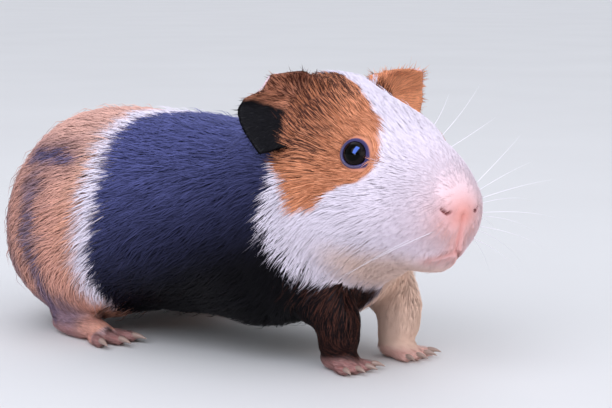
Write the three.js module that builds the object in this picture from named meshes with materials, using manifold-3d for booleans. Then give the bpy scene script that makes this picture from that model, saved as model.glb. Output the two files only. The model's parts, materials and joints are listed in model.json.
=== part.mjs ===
// A short-haired guinea pig, life size, standing crouched on four feet with its head raised and
// turned to its right. The outline is that of the coat. Units are millimetres: +X runs from the
// rump to the head, +Y to the animal's left and +Z up. The soles lie on z = 0.
import * as THREE from "three";
import { mergeVertices } from "three/addons/utils/BufferGeometryUtils.js";
import Module from "manifold-3d";

const wasm = await Module();
wasm.setup();

// ---- Driving dimensions -------------------------------------------------------------------------
const GAP = 0.4; // between two nodes that meet
const HEAD_AT = [80, -6, 63]; // the head's own origin, midway between the eyes and the cheeks
const HEAD_YAW = -10.4; // degrees, turned to the animal's right
const HEAD_PITCH = -0.5; // degrees, nose up
const HEAD_ROLL = -0.5; // degrees, left side up

const EYE_RADIUS = 4.4;
const EYE_AT = [5.2, 15.3, 6.0]; // in the head's frame, on the left side

const RINGS_ALONG = 26; // rings between the two end fans
const RINGS_IN_FAN = 5;
const SIDES = 32; // points in each ring

// The trunk and the head are each drawn by their top, bottom and half width at a few stations.
// A positive taper makes the lower half of the section the wider one.
const TRUNK_PROFILE = [
  { x: -58, top: 68, bottom: 12, width: 32, taper: 0.1 },
  { x: -38, top: 73, bottom: 9, width: 40, taper: 0.1 },
  { x: -14, top: 75, bottom: 8, width: 43, taper: 0.1 },
  { x: 12, top: 73.5, bottom: 9, width: 41, taper: 0.08 },
  { x: 36, top: 70.5, bottom: 12, width: 36, taper: 0.05 },
  { x: 58, top: 75, bottom: 22, width: 29, taper: 0.05 },
];
const HEAD_PROFILE = [
  { x: -34, top: 25, bottom: -29, width: 22, taper: 0.15 },
  { x: -20, top: 27.6, bottom: -32, width: 23.5, taper: 0.22 },
  { x: -6, top: 23.8, bottom: -32, width: 21.6, taper: 0.24 },
  { x: 6, top: 19.8, bottom: -31, width: 18.6, taper: 0.18 },
  { x: 17, top: 14, bottom: -28, width: 15, taper: 0.1 },
  { x: 27, top: 8, bottom: -24, width: 11.5, taper: 0.05 },
  { x: 31, top: 3, bottom: -19, width: 9, taper: 0 },
];
const SECTION_POWER = 2.2; // 2 is an ellipse, and more is squarer

// Masses of flesh that stand out of those. Each is an ellipsoid: centre, radii, and pitch in
// degrees, front up. A mass with a mirror stands on both sides.
const TRUNK_MASSES = {
  rump: { at: [-46, 0, 38.5], radii: [31, 35, 33.5] },
  haunch: { at: [-36, 23, 30], radii: [28, 20, 26], mirror: true },
  shoulder: { at: [42, 17, 37], radii: [20, 17, 26], mirror: true },
  breast: { at: [58, -2, 33], radii: [18, 19, 19] },
  nape: { at: [50, -3, 63], radii: [19, 18, 19] },
};
const HEAD_MASSES = {
  cheek: { at: [-8, 12.5, -10], radii: [21, 12, 16.5], mirror: true },
  brow: { at: [2.8, 9.9, 7.2], radii: [9.5, 7.2, 8], mirror: true },
  muzzle: { at: [25.5, 0, -8], radii: [9, 10.5, 12] },
  whiskerPad: { at: [27, 5, -11], radii: [7, 6.5, 8], mirror: true },
  nosePad: { at: [31.3, 0, -7], radii: [3.5, 6, 5.5] },
  lip: { at: [30, 0, -17], radii: [3.5, 4.5, 4.5] },
  chin: { at: [21, 0, -24], radii: [9.5, 6.5, 5] },
};
const TRUNK_SOFTNESS = 13; // how widely two masses melt into each other
const HEAD_SOFTNESS = 5;
const NECK_SOFTNESS = 16;

// The line that the rings are strung on, from the rump's fan to the muzzle's.
const RUMP_PIVOT = [-47, 0, 39];
const LOIN_POINT = [-14, 0, 41];
const RIB_POINT = [24, 0, 42];
const NAPE_POINT = [52, -2, 51];
const SKULL_POINT = [-8, 0, -2]; // in the head's frame
const MUZZLE_PIVOT = [25, 0, -9]; // in the head's frame

// Cuts that part the body. Each plane leans back at its top by so many degrees.
const NECK_CUT = { at: [46, 0, 40], lean: 20 };
const HEAD_CUT = { at: [-17, 0, 0], lean: 22 }; // in the head's frame

// An ear, in the head's frame and on the left side. Its base is a line up the side of the skull,
// and the blade reaches out from it in two lobes, a rolled upper one and a hanging lower one.
// Shares along the base count from its top, and shares outwards from the base.
const EAR = {
  baseTop: [-17, 13, 27.5],
  baseBottom: [-14, 20.5, 8],
  sink: 4, // how far the base is let into the skull
  backwards: { left: -10, right: 14 }, // degrees each blade is swung back
  rise: 0.16, // how steeply the blade climbs as it reaches out
  upperReach: 16,
  lowerReach: 20,
  fold: 0.37, // the share along the base where the two lobes meet
  foldWidth: 0.07,
  topCorner: 0.14, // the share along the base that rounds off the top
  topReach: 0.4, // how much of the reach is left at the very top
  bottomCorner: { left: 0.6, right: 0.5 }, // the share along the base that rounds off the bottom
  bottomReach: { left: 0.25, right: 0.62 }, // how much of the reach is left at the very bottom
  hang: { left: 0, right: 5 }, // how far the lower lobe's corner droops
  bow: 3, // how far the middle of the base lies behind its ends
  cup: 4, // how far the middle of the rim lies behind its ends, besides
  foldStep: 3, // how far the lower lobe's rim lies behind the upper one's
  curl: 3.5, // how far the upper lobe's rim rolls forwards
  thickBase: 2.4,
  thickRim: 1.4,
  thinEdge: 0.45, // how much of the thickness is lost at the very edge
  rows: 10,
  columns: 5,
};

// Legs. Each section of a limb has its place on the left side and its radii across and along the
// body. The last one is the ankle, and the foot points forwards from the heel.
const FORELEG = {
  limb: [
    { at: [50, 17, 36], radii: [9.5, 13] },
    { at: [61, 16, 26], radii: [9, 12] },
    { at: [70, 14, 15], radii: [7, 8] },
    { at: [69, 13, 5.5], radii: [5.4, 6] },
  ],
  heel: [66, 12.5, 3.2],
  sole: { length: 8, width: 5.4, height: 3.6 },
  toes: { count: 4, length: 6, radius: 1.75, spread: 44, claw: 3.2 },
  turn: 4, // degrees the foot points outwards
  stride: 1.5, // how far the left one is in front of the middle, and the right one behind it
};
const HINDLEG = {
  limb: [
    { at: [-26, 27, 24], radii: [8, 12] },
    { at: [-31, 29, 13], radii: [7, 10] },
    { at: [-39, 30, 6], radii: [6, 7] },
  ],
  heel: [-42, 30, 3.4],
  sole: { length: 27, width: 5.8, height: 3.8 },
  toes: { count: 3, length: 9, radius: 2.1, spread: 30, claw: 4.5 },
  turn: 7,
  stride: 0,
};
const THIGH = { at: [-32, 34, 28], radii: [25, 17, 22] }; // the part of the haunch that is leg
const HEEL_BULGE = 3; // how far the sole reaches behind the heel's own place
const TOE_SET = 1.5; // how far the toes are let into the sole
const TOE_FAN = 1.5; // how far apart they stand, as a share of the sole's width
const TOE_FLAT = 0.15; // how deep the floor cuts them
const OUTER_TOE_LOSS = 0.16; // how much shorter the outermost toes are
const CLAW_WIDTH = 0.5; // as a share of the toe's
const CLAW_DROP = 12; // degrees

const COLOURS = {
  head: 0xe8e0ea,
  neck: 0x24242e,
  trunk: 0x2c2c38,
  foreleg_left: 0xd8bfae,
  foreleg_right: 0x1e1a1e,
  hindleg: 0xc98a5e,
  ear_left: 0xc27a50,
  ear_right: 0x17151a,
  eye: 0x0a0a10,
};
const COAT_ROUGHNESS = 0.85;
const EYE_ROUGHNESS = 0.1;

// ---- The head's frame ----------------------------------------------------------------------------
const rad = THREE.MathUtils.degToRad;
const headMatrix = new THREE.Matrix4().compose(
  new THREE.Vector3(...HEAD_AT),
  new THREE.Quaternion().setFromEuler(
    new THREE.Euler(rad(HEAD_ROLL), rad(-HEAD_PITCH), rad(HEAD_YAW), "ZYX"),
  ),
  new THREE.Vector3(1, 1, 1),
);
const headInverse = headMatrix.clone().invert();

const inHead = (x, y, z) => new THREE.Vector3(x, y, z).applyMatrix4(headMatrix);

// ---- The body as one field -----------------------------------------------------------------------
// Distance from a point to an ellipsoid, negative inside. It is close to the true one near the surface.
function massDistance(p, mass, side) {
  const [cx, cy, cz] = mass.at;
  const pitch = rad(mass.pitch ?? 0);
  const dx = p.x - cx;
  const dz = p.z - cz;
  const x = dx * Math.cos(pitch) + dz * Math.sin(pitch);
  const z = -dx * Math.sin(pitch) + dz * Math.cos(pitch);
  const y = p.y - side * cy;
  const [rx, ry, rz] = mass.radii;
  const k0 = Math.hypot(x / rx, y / ry, z / rz);
  const k1 = Math.hypot(x / rx ** 2, y / ry ** 2, z / rz ** 2);
  return k1 > 0 ? (k0 * (k0 - 1)) / k1 : -Math.min(rx, ry, rz);
}

function melt(a, b, softness) {
  const h = Math.max(softness - Math.abs(a - b), 0) / softness;
  return Math.min(a, b) - (h * h * softness) / 4;
}

function meltMasses(p, masses, softness) {
  let distance = 1e6;
  for (const mass of Object.values(masses)) {
    for (const side of mass.mirror ? [1, -1] : [1]) {
      distance = melt(distance, massDistance(p, mass, side), softness);
    }
  }
  return distance;
}

// A station's values at any x, on a smooth curve through the stations.
function stationAt(profile, x) {
  let i = profile.findIndex((station) => station.x > x) - 1;
  if (i === -2) i = profile.length - 2;
  i = Math.max(i, 0);
  const [before, a, b, after] = [-1, 0, 1, 2].map(
    (step) => profile[THREE.MathUtils.clamp(i + step, 0, profile.length - 1)],
  );
  const t = THREE.MathUtils.clamp((x - a.x) / (b.x - a.x), 0, 1);
  const value = (key) => {
    const slopeA = ((b[key] - before[key]) / (b.x - before.x)) * (b.x - a.x);
    const slopeB = ((after[key] - a[key]) / (after.x - a.x)) * (b.x - a.x);
    return (
      a[key] * (2 * t ** 3 - 3 * t ** 2 + 1) +
      slopeA * (t ** 3 - 2 * t ** 2 + t) +
      b[key] * (3 * t ** 2 - 2 * t ** 3) +
      slopeB * (t ** 3 - t ** 2)
    );
  };
  return { top: value("top"), bottom: value("bottom"), width: value("width"), taper: value("taper") };
}

// Rough distance from a point to the form that a profile draws, negative inside.
function profileDistance(p, profile) {
  const section = stationAt(profile, p.x);
  const half = (section.top - section.bottom) / 2;
  const rise = (p.z - (section.top + section.bottom) / 2) / half;
  const width = section.width * (1 - section.taper * THREE.MathUtils.clamp(rise, -1, 1));
  const reach = Math.pow(
    Math.abs(p.y / width) ** SECTION_POWER + Math.abs(rise) ** SECTION_POWER,
    1 / SECTION_POWER,
  );
  const radial = (reach - 1) * Math.min(width, half);
  return Math.max(radial, p.x - profile.at(-1).x, profile[0].x - p.x);
}

function bodyDistance(p) {
  const q = p.clone().applyMatrix4(headInverse);
  const trunk = melt(
    profileDistance(p, TRUNK_PROFILE),
    meltMasses(p, TRUNK_MASSES, TRUNK_SOFTNESS),
    TRUNK_SOFTNESS,
  );
  const head = melt(
    profileDistance(q, HEAD_PROFILE),
    meltMasses(q, HEAD_MASSES, HEAD_SOFTNESS),
    HEAD_SOFTNESS,
  );
  return melt(trunk, head, NECK_SOFTNESS);
}

// The last point inside the body, grown by so much, on a ray that starts inside it.
function castRay(from, direction, grow) {
  const STEP = 1.5;
  const at = (r) => from.clone().addScaledVector(direction, r);
  let inside = 0;
  while (bodyDistance(at(inside + STEP)) < grow) inside += STEP;
  let outside = inside + STEP;
  for (let i = 0; i < 18; i++) {
    const middle = (inside + outside) / 2;
    if (bodyDistance(at(middle)) < grow) inside = middle;
    else outside = middle;
  }
  return at(inside);
}

// Closed surface through rings of points, with an apex at each end.
function surfaceOfRings(start, rings, end) {
  const sides = rings[0].length;
  const points = [start, ...rings.flat(), end];
  const last = points.length - 1;
  const index = [];
  for (let s = 0; s < sides; s++) {
    const t = (s + 1) % sides;
    index.push(0, 1 + t, 1 + s);
    for (let r = 0; r + 1 < rings.length; r++) {
      const a = 1 + r * sides;
      const b = a + sides;
      index.push(a + s, a + t, b + s, a + t, b + t, b + s);
    }
    const a = 1 + (rings.length - 1) * sides;
    index.push(a + s, a + t, last);
  }
  const geometry = new THREE.BufferGeometry().setFromPoints(points);
  geometry.setIndex(index);
  return geometry;
}

function bodyGeometry(grow) {
  const spine = new THREE.CatmullRomCurve3(
    [
      new THREE.Vector3(...RUMP_PIVOT),
      new THREE.Vector3(...LOIN_POINT),
      new THREE.Vector3(...RIB_POINT),
      new THREE.Vector3(...NAPE_POINT),
      inHead(...SKULL_POINT),
      inHead(...MUZZLE_PIVOT),
    ],
    false,
    "centripetal",
  );
  const up = new THREE.Vector3(0, 0, 1);
  const ring = (u, lean) => {
    const centre = spine.getPointAt(u);
    const along = spine.getTangentAt(u);
    const side = new THREE.Vector3().crossVectors(up, along).normalize();
    const top = new THREE.Vector3().crossVectors(along, side);
    return Array.from({ length: SIDES }, (_, s) => {
      const angle = (s / SIDES) * 2 * Math.PI;
      const ray = new THREE.Vector3()
        .addScaledVector(side, Math.cos(angle) * Math.cos(lean))
        .addScaledVector(top, Math.sin(angle) * Math.cos(lean))
        .addScaledVector(along, Math.sin(lean));
      return castRay(centre, ray, grow);
    });
  };
  const rings = [];
  for (let i = RINGS_IN_FAN; i > 0; i--) rings.push(ring(0, (-i / (RINGS_IN_FAN + 1)) * (Math.PI / 2)));
  for (let i = 0; i <= RINGS_ALONG; i++) rings.push(ring(i / RINGS_ALONG, 0));
  for (let i = 1; i <= RINGS_IN_FAN; i++) rings.push(ring(1, (i / (RINGS_IN_FAN + 1)) * (Math.PI / 2)));
  const rumpEnd = castRay(spine.getPointAt(0), spine.getTangentAt(0).negate(), grow);
  const noseEnd = castRay(spine.getPointAt(1), spine.getTangentAt(1), grow);
  return surfaceOfRings(rumpEnd, rings, noseEnd);
}

// ---- Solids --------------------------------------------------------------------------------------
function solidOf(geometry) {
  const bare = geometry.clone();
  bare.deleteAttribute("normal");
  bare.deleteAttribute("uv");
  const merged = mergeVertices(bare, 1e-4);
  return new wasm.Manifold(
    new wasm.Mesh({
      numProp: 3,
      vertProperties: merged.attributes.position.array,
      triVerts: new Uint32Array(merged.index.array),
    }),
  );
}

function geometryOf(solid) {
  const mesh = solid.getMesh();
  const geometry = new THREE.BufferGeometry();
  const position = new Float32Array(mesh.numVert * 3);
  for (let i = 0; i < mesh.numVert; i++) {
    position.set(mesh.vertProperties.subarray(i * mesh.numProp, i * mesh.numProp + 3), i * 3);
  }
  geometry.setAttribute("position", new THREE.BufferAttribute(position, 3));
  geometry.setIndex(new THREE.BufferAttribute(new Uint32Array(mesh.triVerts), 1));
  geometry.computeVertexNormals();
  return geometry;
}

const ballSolid = (centre, radii, around, down) =>
  solidOf(
    new THREE.SphereGeometry(1, around, down)
      .rotateX(Math.PI / 2)
      .scale(...radii)
      .translate(...centre),
  );

// ---- Legs ----------------------------------------------------------------------------------------
// A closed tube through a leg's sections, grown by so much.
function limbSolid({ limb, stride }, side, grow) {
  const SIDES_ROUND = 10;
  const STEPS = 2; // rings from one section to the next
  const CAP = 2;
  const path = new THREE.CatmullRomCurve3(
    limb.map(({ at: [x, y, z] }) => new THREE.Vector3(x + side * stride, side * y, z)),
  );
  const spans = limb.length - 1;
  const leftwards = new THREE.Vector3(0, 1, 0);
  const rings = [];
  for (let i = 0; i <= spans * STEPS; i++) {
    const u = i / (spans * STEPS);
    const span = Math.min(Math.floor(u * spans), spans - 1);
    const radius = (k) =>
      THREE.MathUtils.lerp(limb[span].radii[k], limb[span + 1].radii[k], u * spans - span) + grow;
    const centre = path.getPoint(u);
    const forwards = new THREE.Vector3().crossVectors(leftwards, path.getTangent(u)).normalize();
    rings.push(
      Array.from({ length: SIDES_ROUND }, (_, s) => {
        const angle = (s / SIDES_ROUND) * 2 * Math.PI;
        return centre
          .clone()
          .addScaledVector(leftwards, -Math.cos(angle) * radius(0))
          .addScaledVector(forwards, Math.sin(angle) * radius(1));
      }),
    );
  }
  const cap = (u, outwards) =>
    path.getPoint(u).addScaledVector(path.getTangent(u), outwards * (CAP + grow));
  return solidOf(surfaceOfRings(cap(0, -1), rings, cap(1, 1)));
}

// A sole with a fan of clawed toes, grown by so much.
function footSolid({ heel: [heelX, heelY, heelZ], sole, toes, turn, stride }, side, grow) {
  const half = sole.length / 2;
  const pieces = [
    new THREE.SphereGeometry(1, 10, 8)
      .rotateX(Math.PI / 2)
      .scale(half + HEEL_BULGE + grow, sole.width + grow, sole.height + grow)
      .translate(half, 0, 0),
  ];
  for (let i = 0; i < toes.count; i++) {
    const share = i / (toes.count - 1) - 0.5; // -0.5 to 0.5 across the foot
    const reach = toes.length * (1 - OUTER_TOE_LOSS * (2 * share) ** 2);
    const toe = new THREE.CapsuleGeometry(toes.radius + grow, reach, 2, 6)
      .rotateZ(-Math.PI / 2)
      .translate(reach / 2, 0, 0);
    const claw = new THREE.ConeGeometry(toes.radius * CLAW_WIDTH + grow, toes.claw, 5)
      .rotateZ(-Math.PI / 2)
      .rotateY(rad(CLAW_DROP))
      .translate(reach + toes.radius + toes.claw / 4, 0, 0);
    for (const piece of [toe, claw]) {
      piece
        .rotateZ(rad(share * toes.spread))
        .translate(sole.length - TOE_SET, share * sole.width * TOE_FAN, toes.radius - heelZ - TOE_FLAT);
      pieces.push(piece);
    }
  }
  const foot = pieces
    .map((piece) => solidOf(piece.rotateZ(rad(turn))))
    .reduce((all, solid) => all.add(solid));
  return (side > 0 ? foot : foot.mirror([0, 1, 0])).translate([
    heelX + side * stride,
    side * heelY,
    heelZ,
  ]);
}

const FLOOR = [[0, 0, 1], 0]; // the plane z = 0
const legSolid = (leg, side, grow) =>
  limbSolid(leg, side, grow)
    .add(footSolid(leg, side, grow))
    .trimByPlane(...FLOOR);

// ---- Ears ----------------------------------------------------------------------------------------
// The middle of the blade, s down along the base and t out to the rim.
function earPoint(name, s, t, outwards) {
  const top = new THREE.Vector3(...EAR.baseTop);
  const bottom = new THREE.Vector3(...EAR.baseBottom);
  const upwards = top.clone().sub(bottom).normalize();
  const backwards = new THREE.Vector3().crossVectors(upwards, outwards).normalize();
  const lower = THREE.MathUtils.smoothstep(s, EAR.fold - EAR.foldWidth, EAR.fold + EAR.foldWidth);
  const topLoss = THREE.MathUtils.clamp(1 - s / EAR.topCorner, 0, 1) ** 2;
  const bottomLoss = Math.max(1 - (1 - s) / EAR.bottomCorner[name], 0) ** 2;
  const reach =
    THREE.MathUtils.lerp(EAR.upperReach, EAR.lowerReach, lower) *
    THREE.MathUtils.lerp(EAR.topReach, 1, Math.sqrt(1 - topLoss)) *
    THREE.MathUtils.lerp(1, EAR.bottomReach[name], bottomLoss);
  const along = -EAR.sink + t * (reach + EAR.sink);
  const share = Math.max(along / reach, 0);
  const hollow = 1 - (2 * s - 1) ** 2;
  const back =
    EAR.bow * hollow +
    EAR.cup * hollow * share +
    EAR.foldStep * lower * share -
    EAR.curl * (1 - lower) * share ** 2;
  return top
    .lerp(bottom, s)
    .addScaledVector(outwards, along)
    .addScaledVector(upwards, EAR.rise * along - EAR.hang[name] * share * s ** 4)
    .addScaledVector(backwards, back);
}

// Two skins of a grid of points, front and back, with a rim between them.
function earSolid(name, side) {
  const { rows, columns } = EAR;
  const swing = rad(EAR.backwards[name]);
  const outwards = new THREE.Vector3(-Math.sin(swing), Math.cos(swing), 0);
  const skin = (face) => {
    const points = [];
    for (let i = 0; i <= rows; i++) {
      for (let j = 0; j <= columns; j++) {
        const [s, t] = [i / rows, j / columns];
        const NUDGE = 1e-3;
        const down = earPoint(name, s + NUDGE, t, outwards).sub(
          earPoint(name, s - NUDGE, t, outwards),
        );
        const out = earPoint(name, s, t + NUDGE, outwards).sub(
          earPoint(name, s, t - NUDGE, outwards),
        );
        const normal = out.cross(down).normalize();
        const edge = Math.max((2 * s - 1) ** 6, t ** 6);
        const thick =
          THREE.MathUtils.lerp(EAR.thickBase, EAR.thickRim, t) * (1 - EAR.thinEdge * edge);
        const point = earPoint(name, s, t, outwards).addScaledVector(normal, (face * thick) / 2);
        points.push(point.multiply(new THREE.Vector3(1, side, 1)).applyMatrix4(headMatrix));
      }
    }
    return points;
  };
  const stride = columns + 1;
  const behind = (rows + 1) * stride; // where the back skin's points start
  const index = [];
  const quad = (a, b, c, d) =>
    side > 0 ? index.push(a, b, c, a, c, d) : index.push(a, c, b, a, d, c);
  for (let i = 0; i < rows; i++) {
    for (let j = 0; j < columns; j++) {
      const a = i * stride + j;
      quad(a, a + 1, a + stride + 1, a + stride);
      quad(behind + a, behind + a + stride, behind + a + stride + 1, behind + a + 1);
    }
  }
  const rim = [];
  for (let j = 0; j < columns; j++) rim.push(j);
  for (let i = 0; i < rows; i++) rim.push(i * stride + columns);
  for (let j = columns; j > 0; j--) rim.push(rows * stride + j);
  for (let i = rows; i > 0; i--) rim.push(i * stride);
  rim.forEach((a, k) => {
    const b = rim[(k + 1) % rim.length];
    quad(b, a, behind + a, behind + b);
  });
  const geometry = new THREE.BufferGeometry().setFromPoints([...skin(1), ...skin(-1)]);
  geometry.setIndex(index);
  return solidOf(geometry);
}

// ---- Parting the body ----------------------------------------------------------------------------
const UNTURNED = new THREE.Matrix4();

// The piece of a solid on one side of a leaning plane: 1 is in front of it, -1 behind it.
function trimAt(solid, { at, lean }, frame, front) {
  const normal = new THREE.Vector3(Math.cos(rad(lean)), 0, Math.sin(rad(lean)));
  const point = new THREE.Vector3(...at).applyMatrix4(frame);
  normal.transformDirection(frame).multiplyScalar(front);
  return solid.trimByPlane(normal.toArray(), normal.dot(point) + GAP / 2);
}

// The cuts can leave slivers, so a node keeps its largest body.
const mainBody = (solid) => solid.decompose().reduce((a, b) => (b.volume() > a.volume() ? b : a));

const animal = new THREE.Group();
function addNode(name, solid, colour, roughness) {
  const material = new THREE.MeshStandardMaterial({ color: colour, roughness, metalness: 0 });
  const mesh = new THREE.Mesh(geometryOf(mainBody(solid)), material);
  mesh.name = name;
  animal.add(mesh);
}

const body = solidOf(bodyGeometry(0));
const clearOfBody = solidOf(bodyGeometry(GAP)); // what meets the skin from outside stops here
let trunk = trimAt(body, NECK_CUT, UNTURNED, -1);
let neck = trimAt(trimAt(body, NECK_CUT, UNTURNED, 1), HEAD_CUT, headMatrix, -1);
let head = trimAt(body, HEAD_CUT, headMatrix, 1);

for (const [name, side] of [
  ["left", 1],
  ["right", -1],
]) {
  const foreleg = (grow) => legSolid(FORELEG, side, grow);
  addNode("foreleg_" + name, foreleg(0), COLOURS["foreleg_" + name], COAT_ROUGHNESS);
  trunk = trunk.subtract(foreleg(GAP));
  neck = neck.subtract(foreleg(GAP));

  const [thighX, thighY, thighZ] = THIGH.at;
  const thigh = (grow) =>
    ballSolid([thighX, side * thighY, thighZ], THIGH.radii.map((r) => r + grow), 20, 12);
  const hindleg = body.intersect(thigh(0)).add(legSolid(HINDLEG, side, 0));
  addNode("hindleg_" + name, hindleg, COLOURS.hindleg, COAT_ROUGHNESS);
  trunk = trunk.subtract(thigh(GAP)).subtract(legSolid(HINDLEG, side, GAP));

  const [eyeX, eyeY, eyeZ] = EYE_AT;
  const eyeCentre = inHead(eyeX, side * eyeY, eyeZ).toArray();
  const eyeball = (grow) => ballSolid(eyeCentre, Array(3).fill(EYE_RADIUS + grow), 14, 9);
  addNode("eye_" + name, eyeball(0), COLOURS.eye, EYE_ROUGHNESS);
  head = head.subtract(eyeball(GAP));

  const ear = earSolid(name, side).subtract(clearOfBody);
  addNode("ear_" + name, ear, COLOURS["ear_" + name], COAT_ROUGHNESS);
}
addNode("trunk", trunk, COLOURS.trunk, COAT_ROUGHNESS);
addNode("neck", neck, COLOURS.neck, COAT_ROUGHNESS);
addNode("head", head, COLOURS.head, COAT_ROUGHNESS);

// The origin is the middle of the box that holds the animal, at floor level.
const box = new THREE.Box3().setFromObject(animal);
animal.position.set(-(box.min.x + box.max.x) / 2, -(box.min.y + box.max.y) / 2, 0);

export default animal;
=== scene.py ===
"""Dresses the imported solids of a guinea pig: skin, eyes, lids, claws, whiskers and a coat of mesh
tufts that follow the lie of the hair. Lengths in the tables are millimetres, Blender's metres."""

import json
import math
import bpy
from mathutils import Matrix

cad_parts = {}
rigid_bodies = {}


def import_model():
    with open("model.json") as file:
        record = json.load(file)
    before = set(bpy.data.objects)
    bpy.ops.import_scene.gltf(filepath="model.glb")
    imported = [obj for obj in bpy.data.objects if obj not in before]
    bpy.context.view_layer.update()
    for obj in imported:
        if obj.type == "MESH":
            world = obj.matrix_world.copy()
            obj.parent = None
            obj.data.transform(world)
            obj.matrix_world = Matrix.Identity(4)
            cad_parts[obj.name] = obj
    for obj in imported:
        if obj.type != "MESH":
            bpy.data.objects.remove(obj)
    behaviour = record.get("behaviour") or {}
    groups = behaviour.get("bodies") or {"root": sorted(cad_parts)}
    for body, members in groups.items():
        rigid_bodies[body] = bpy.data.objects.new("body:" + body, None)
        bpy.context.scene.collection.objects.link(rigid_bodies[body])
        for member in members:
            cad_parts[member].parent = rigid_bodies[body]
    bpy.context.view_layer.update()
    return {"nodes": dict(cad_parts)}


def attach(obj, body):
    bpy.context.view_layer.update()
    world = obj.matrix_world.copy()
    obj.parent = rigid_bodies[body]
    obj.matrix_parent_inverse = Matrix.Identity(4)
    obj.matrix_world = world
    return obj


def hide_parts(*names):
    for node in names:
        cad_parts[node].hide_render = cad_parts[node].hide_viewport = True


bl_info = {
    "name": "Guinea pig model",
    "version": (1, 0, 0),
    "blender": (4, 5, 0),
    "location": "3D View > Sidebar > Guinea Pig",
    "description": "Skin, eyes, claws, whiskers and coat of a life-size guinea pig",
    "category": "Object",
}

import bpy
import numpy as np
from mathutils import Euler, Quaternion, Vector
from mathutils.bvhtree import BVHTree

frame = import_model()
MM = 0.001
LEGS = ("foreleg_left", "foreleg_right", "hindleg_left", "hindleg_right")
EARS = ("ear_left", "ear_right")
FLESH = ("head", "neck", "trunk") + LEGS + EARS
HEAD, NECK = 0, 1  # places in FLESH; the trunk is 2, legs are 3 to 6, ears 7 and 8
FIRST_LEG, FIRST_EAR = 3, 7
SIDES = {"left": 1, "right": -1}

# ---- The head's own frame: x to the nose, y to the animal's left, z up ----
HEAD_AT = np.array((60.55, -6.0, 63.0))
HEAD_TURN = np.array(
    Euler((math.radians(-0.5), math.radians(0.5), math.radians(-10.4))).to_matrix()
)
NOSE_LINE = -1.5  # y of the middle of the nose
NOSE_TIP = np.array((38.0, NOSE_LINE, -4.0))
EYE_AT = np.array((4.9, 15.3, 5.6))
EYE_FACING = np.array((0.45, 0.85, 0.28))
EYE_BALL = 4.4
EAR_ROOT = np.array((-15.5, 17.0, 18.0))


def to_head(points):
    """Points in metres in the row's frame, as millimetres in the head's."""
    return (points / MM - HEAD_AT) @ HEAD_TURN


def from_head(points):
    """Millimetres in the head's frame, as metres in the row's."""
    return (np.asarray(points, float) @ HEAD_TURN.T + HEAD_AT) * MM


def eye_centre(side):
    return EYE_AT * (1, side, 1)


def eye_axis(side):
    return EYE_FACING * (1, side, 1) / np.linalg.norm(EYE_FACING)


# ---- Small helpers -------------------------------------------------------
def unit(vectors):
    return vectors / np.maximum(np.linalg.norm(vectors, axis=-1, keepdims=True), 1e-12)


def ease(values, low, high):
    """0 below low and 1 above high, with a smooth step between."""
    share = np.clip((values - low) / (high - low), 0, 1)
    return share * share * (3 - 2 * share)


def fade(values, low, high):
    """1 below low and 0 above high, with a smooth step between."""
    return 1 - ease(values, low, high)


def bump_at(distance, width):
    """1 at no distance, and less to both sides."""
    return np.exp(-((distance / width) ** 2))


def scatter(cells, seed):
    """One number from -1 to 1 for each whole-number cell, the same on every run."""
    wide = cells.astype(np.int64).astype(np.uint64)
    mixed = wide[..., 0] * np.uint64(73856093) ^ wide[..., 1] * np.uint64(19349663)
    mixed ^= wide[..., 2] * np.uint64(83492791) ^ np.uint64(seed * 2654435761)
    mixed ^= mixed >> np.uint64(15)
    mixed *= np.uint64(2246822519)
    mixed ^= mixed >> np.uint64(13)
    mixed *= np.uint64(3266489917)
    mixed ^= mixed >> np.uint64(16)
    return (mixed & np.uint64(0xFFFFFF)).astype(float) / 0x7FFFFF - 1


def drift(points, size, seed):
    """Smooth noise from -1 to 1 over points and size in the same unit."""
    grid = points / size
    cell = np.floor(grid)
    inside = grid - cell
    inside = inside * inside * (3 - 2 * inside)
    total = np.zeros(len(points))
    for corner in np.ndindex(2, 2, 2):
        share = np.where(np.array(corner) == 1, inside, 1 - inside).prod(axis=1)
        total += share * scatter(cell + corner, seed)
    return total


def wobble(points, layers):
    """Noise in layers, each with its strength, size and seed."""
    return sum(strength * drift(points, size, seed) for strength, size, seed in layers)


def soft_max(first, second, blend):
    """The larger of two values, with a round join as wide as blend."""
    share = np.clip(0.5 + 0.5 * (first - second) / blend, 0, 1)
    return first * share + second * (1 - share) + blend * share * (1 - share)


def distance_to_line(points, corners):
    """Distance from each point to a run of straight pieces, in as many axes as are given."""
    best = np.full(len(points), np.inf)
    for start, end in zip(corners[:-1], corners[1:]):
        start, way = np.array(start, float), np.array(end, float) - start
        share = np.clip((points - start) @ way / (way @ way), 0, 1)
        best = np.minimum(best, np.linalg.norm(points - start - share[:, None] * way, axis=1))
    return best


def inside_by(points, outline):
    """How far flat points are inside a closed outline: less than 0 outside it."""
    outline = np.array(outline, float)
    odd = np.zeros(len(points), bool)
    for (x0, y0), (x1, y1) in zip(outline, np.roll(outline, -1, axis=0)):
        if y0 != y1:
            crosses = (y0 > points[:, 1]) != (y1 > points[:, 1])
            odd ^= crosses & (points[:, 0] < (x1 - x0) * (points[:, 1] - y0) / (y1 - y0) + x0)
    edge = distance_to_line(points, np.vstack((outline, outline[:1])))
    return np.where(odd, edge, -edge)


def select_only(*objects):
    if bpy.context.mode != "OBJECT":
        bpy.ops.object.mode_set(mode="OBJECT")
    bpy.ops.object.select_all(action="DESELECT")
    for item in objects:
        item.select_set(True)
    bpy.context.view_layer.objects.active = objects[-1]


def finish_with(piece, kind, **settings):
    """Adds a modifier and applies it."""
    select_only(piece)
    modifier = piece.modifiers.new(kind.title(), kind)
    for name, value in settings.items():
        setattr(modifier, name, value)
    bpy.ops.object.modifier_apply(modifier=modifier.name)


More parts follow.
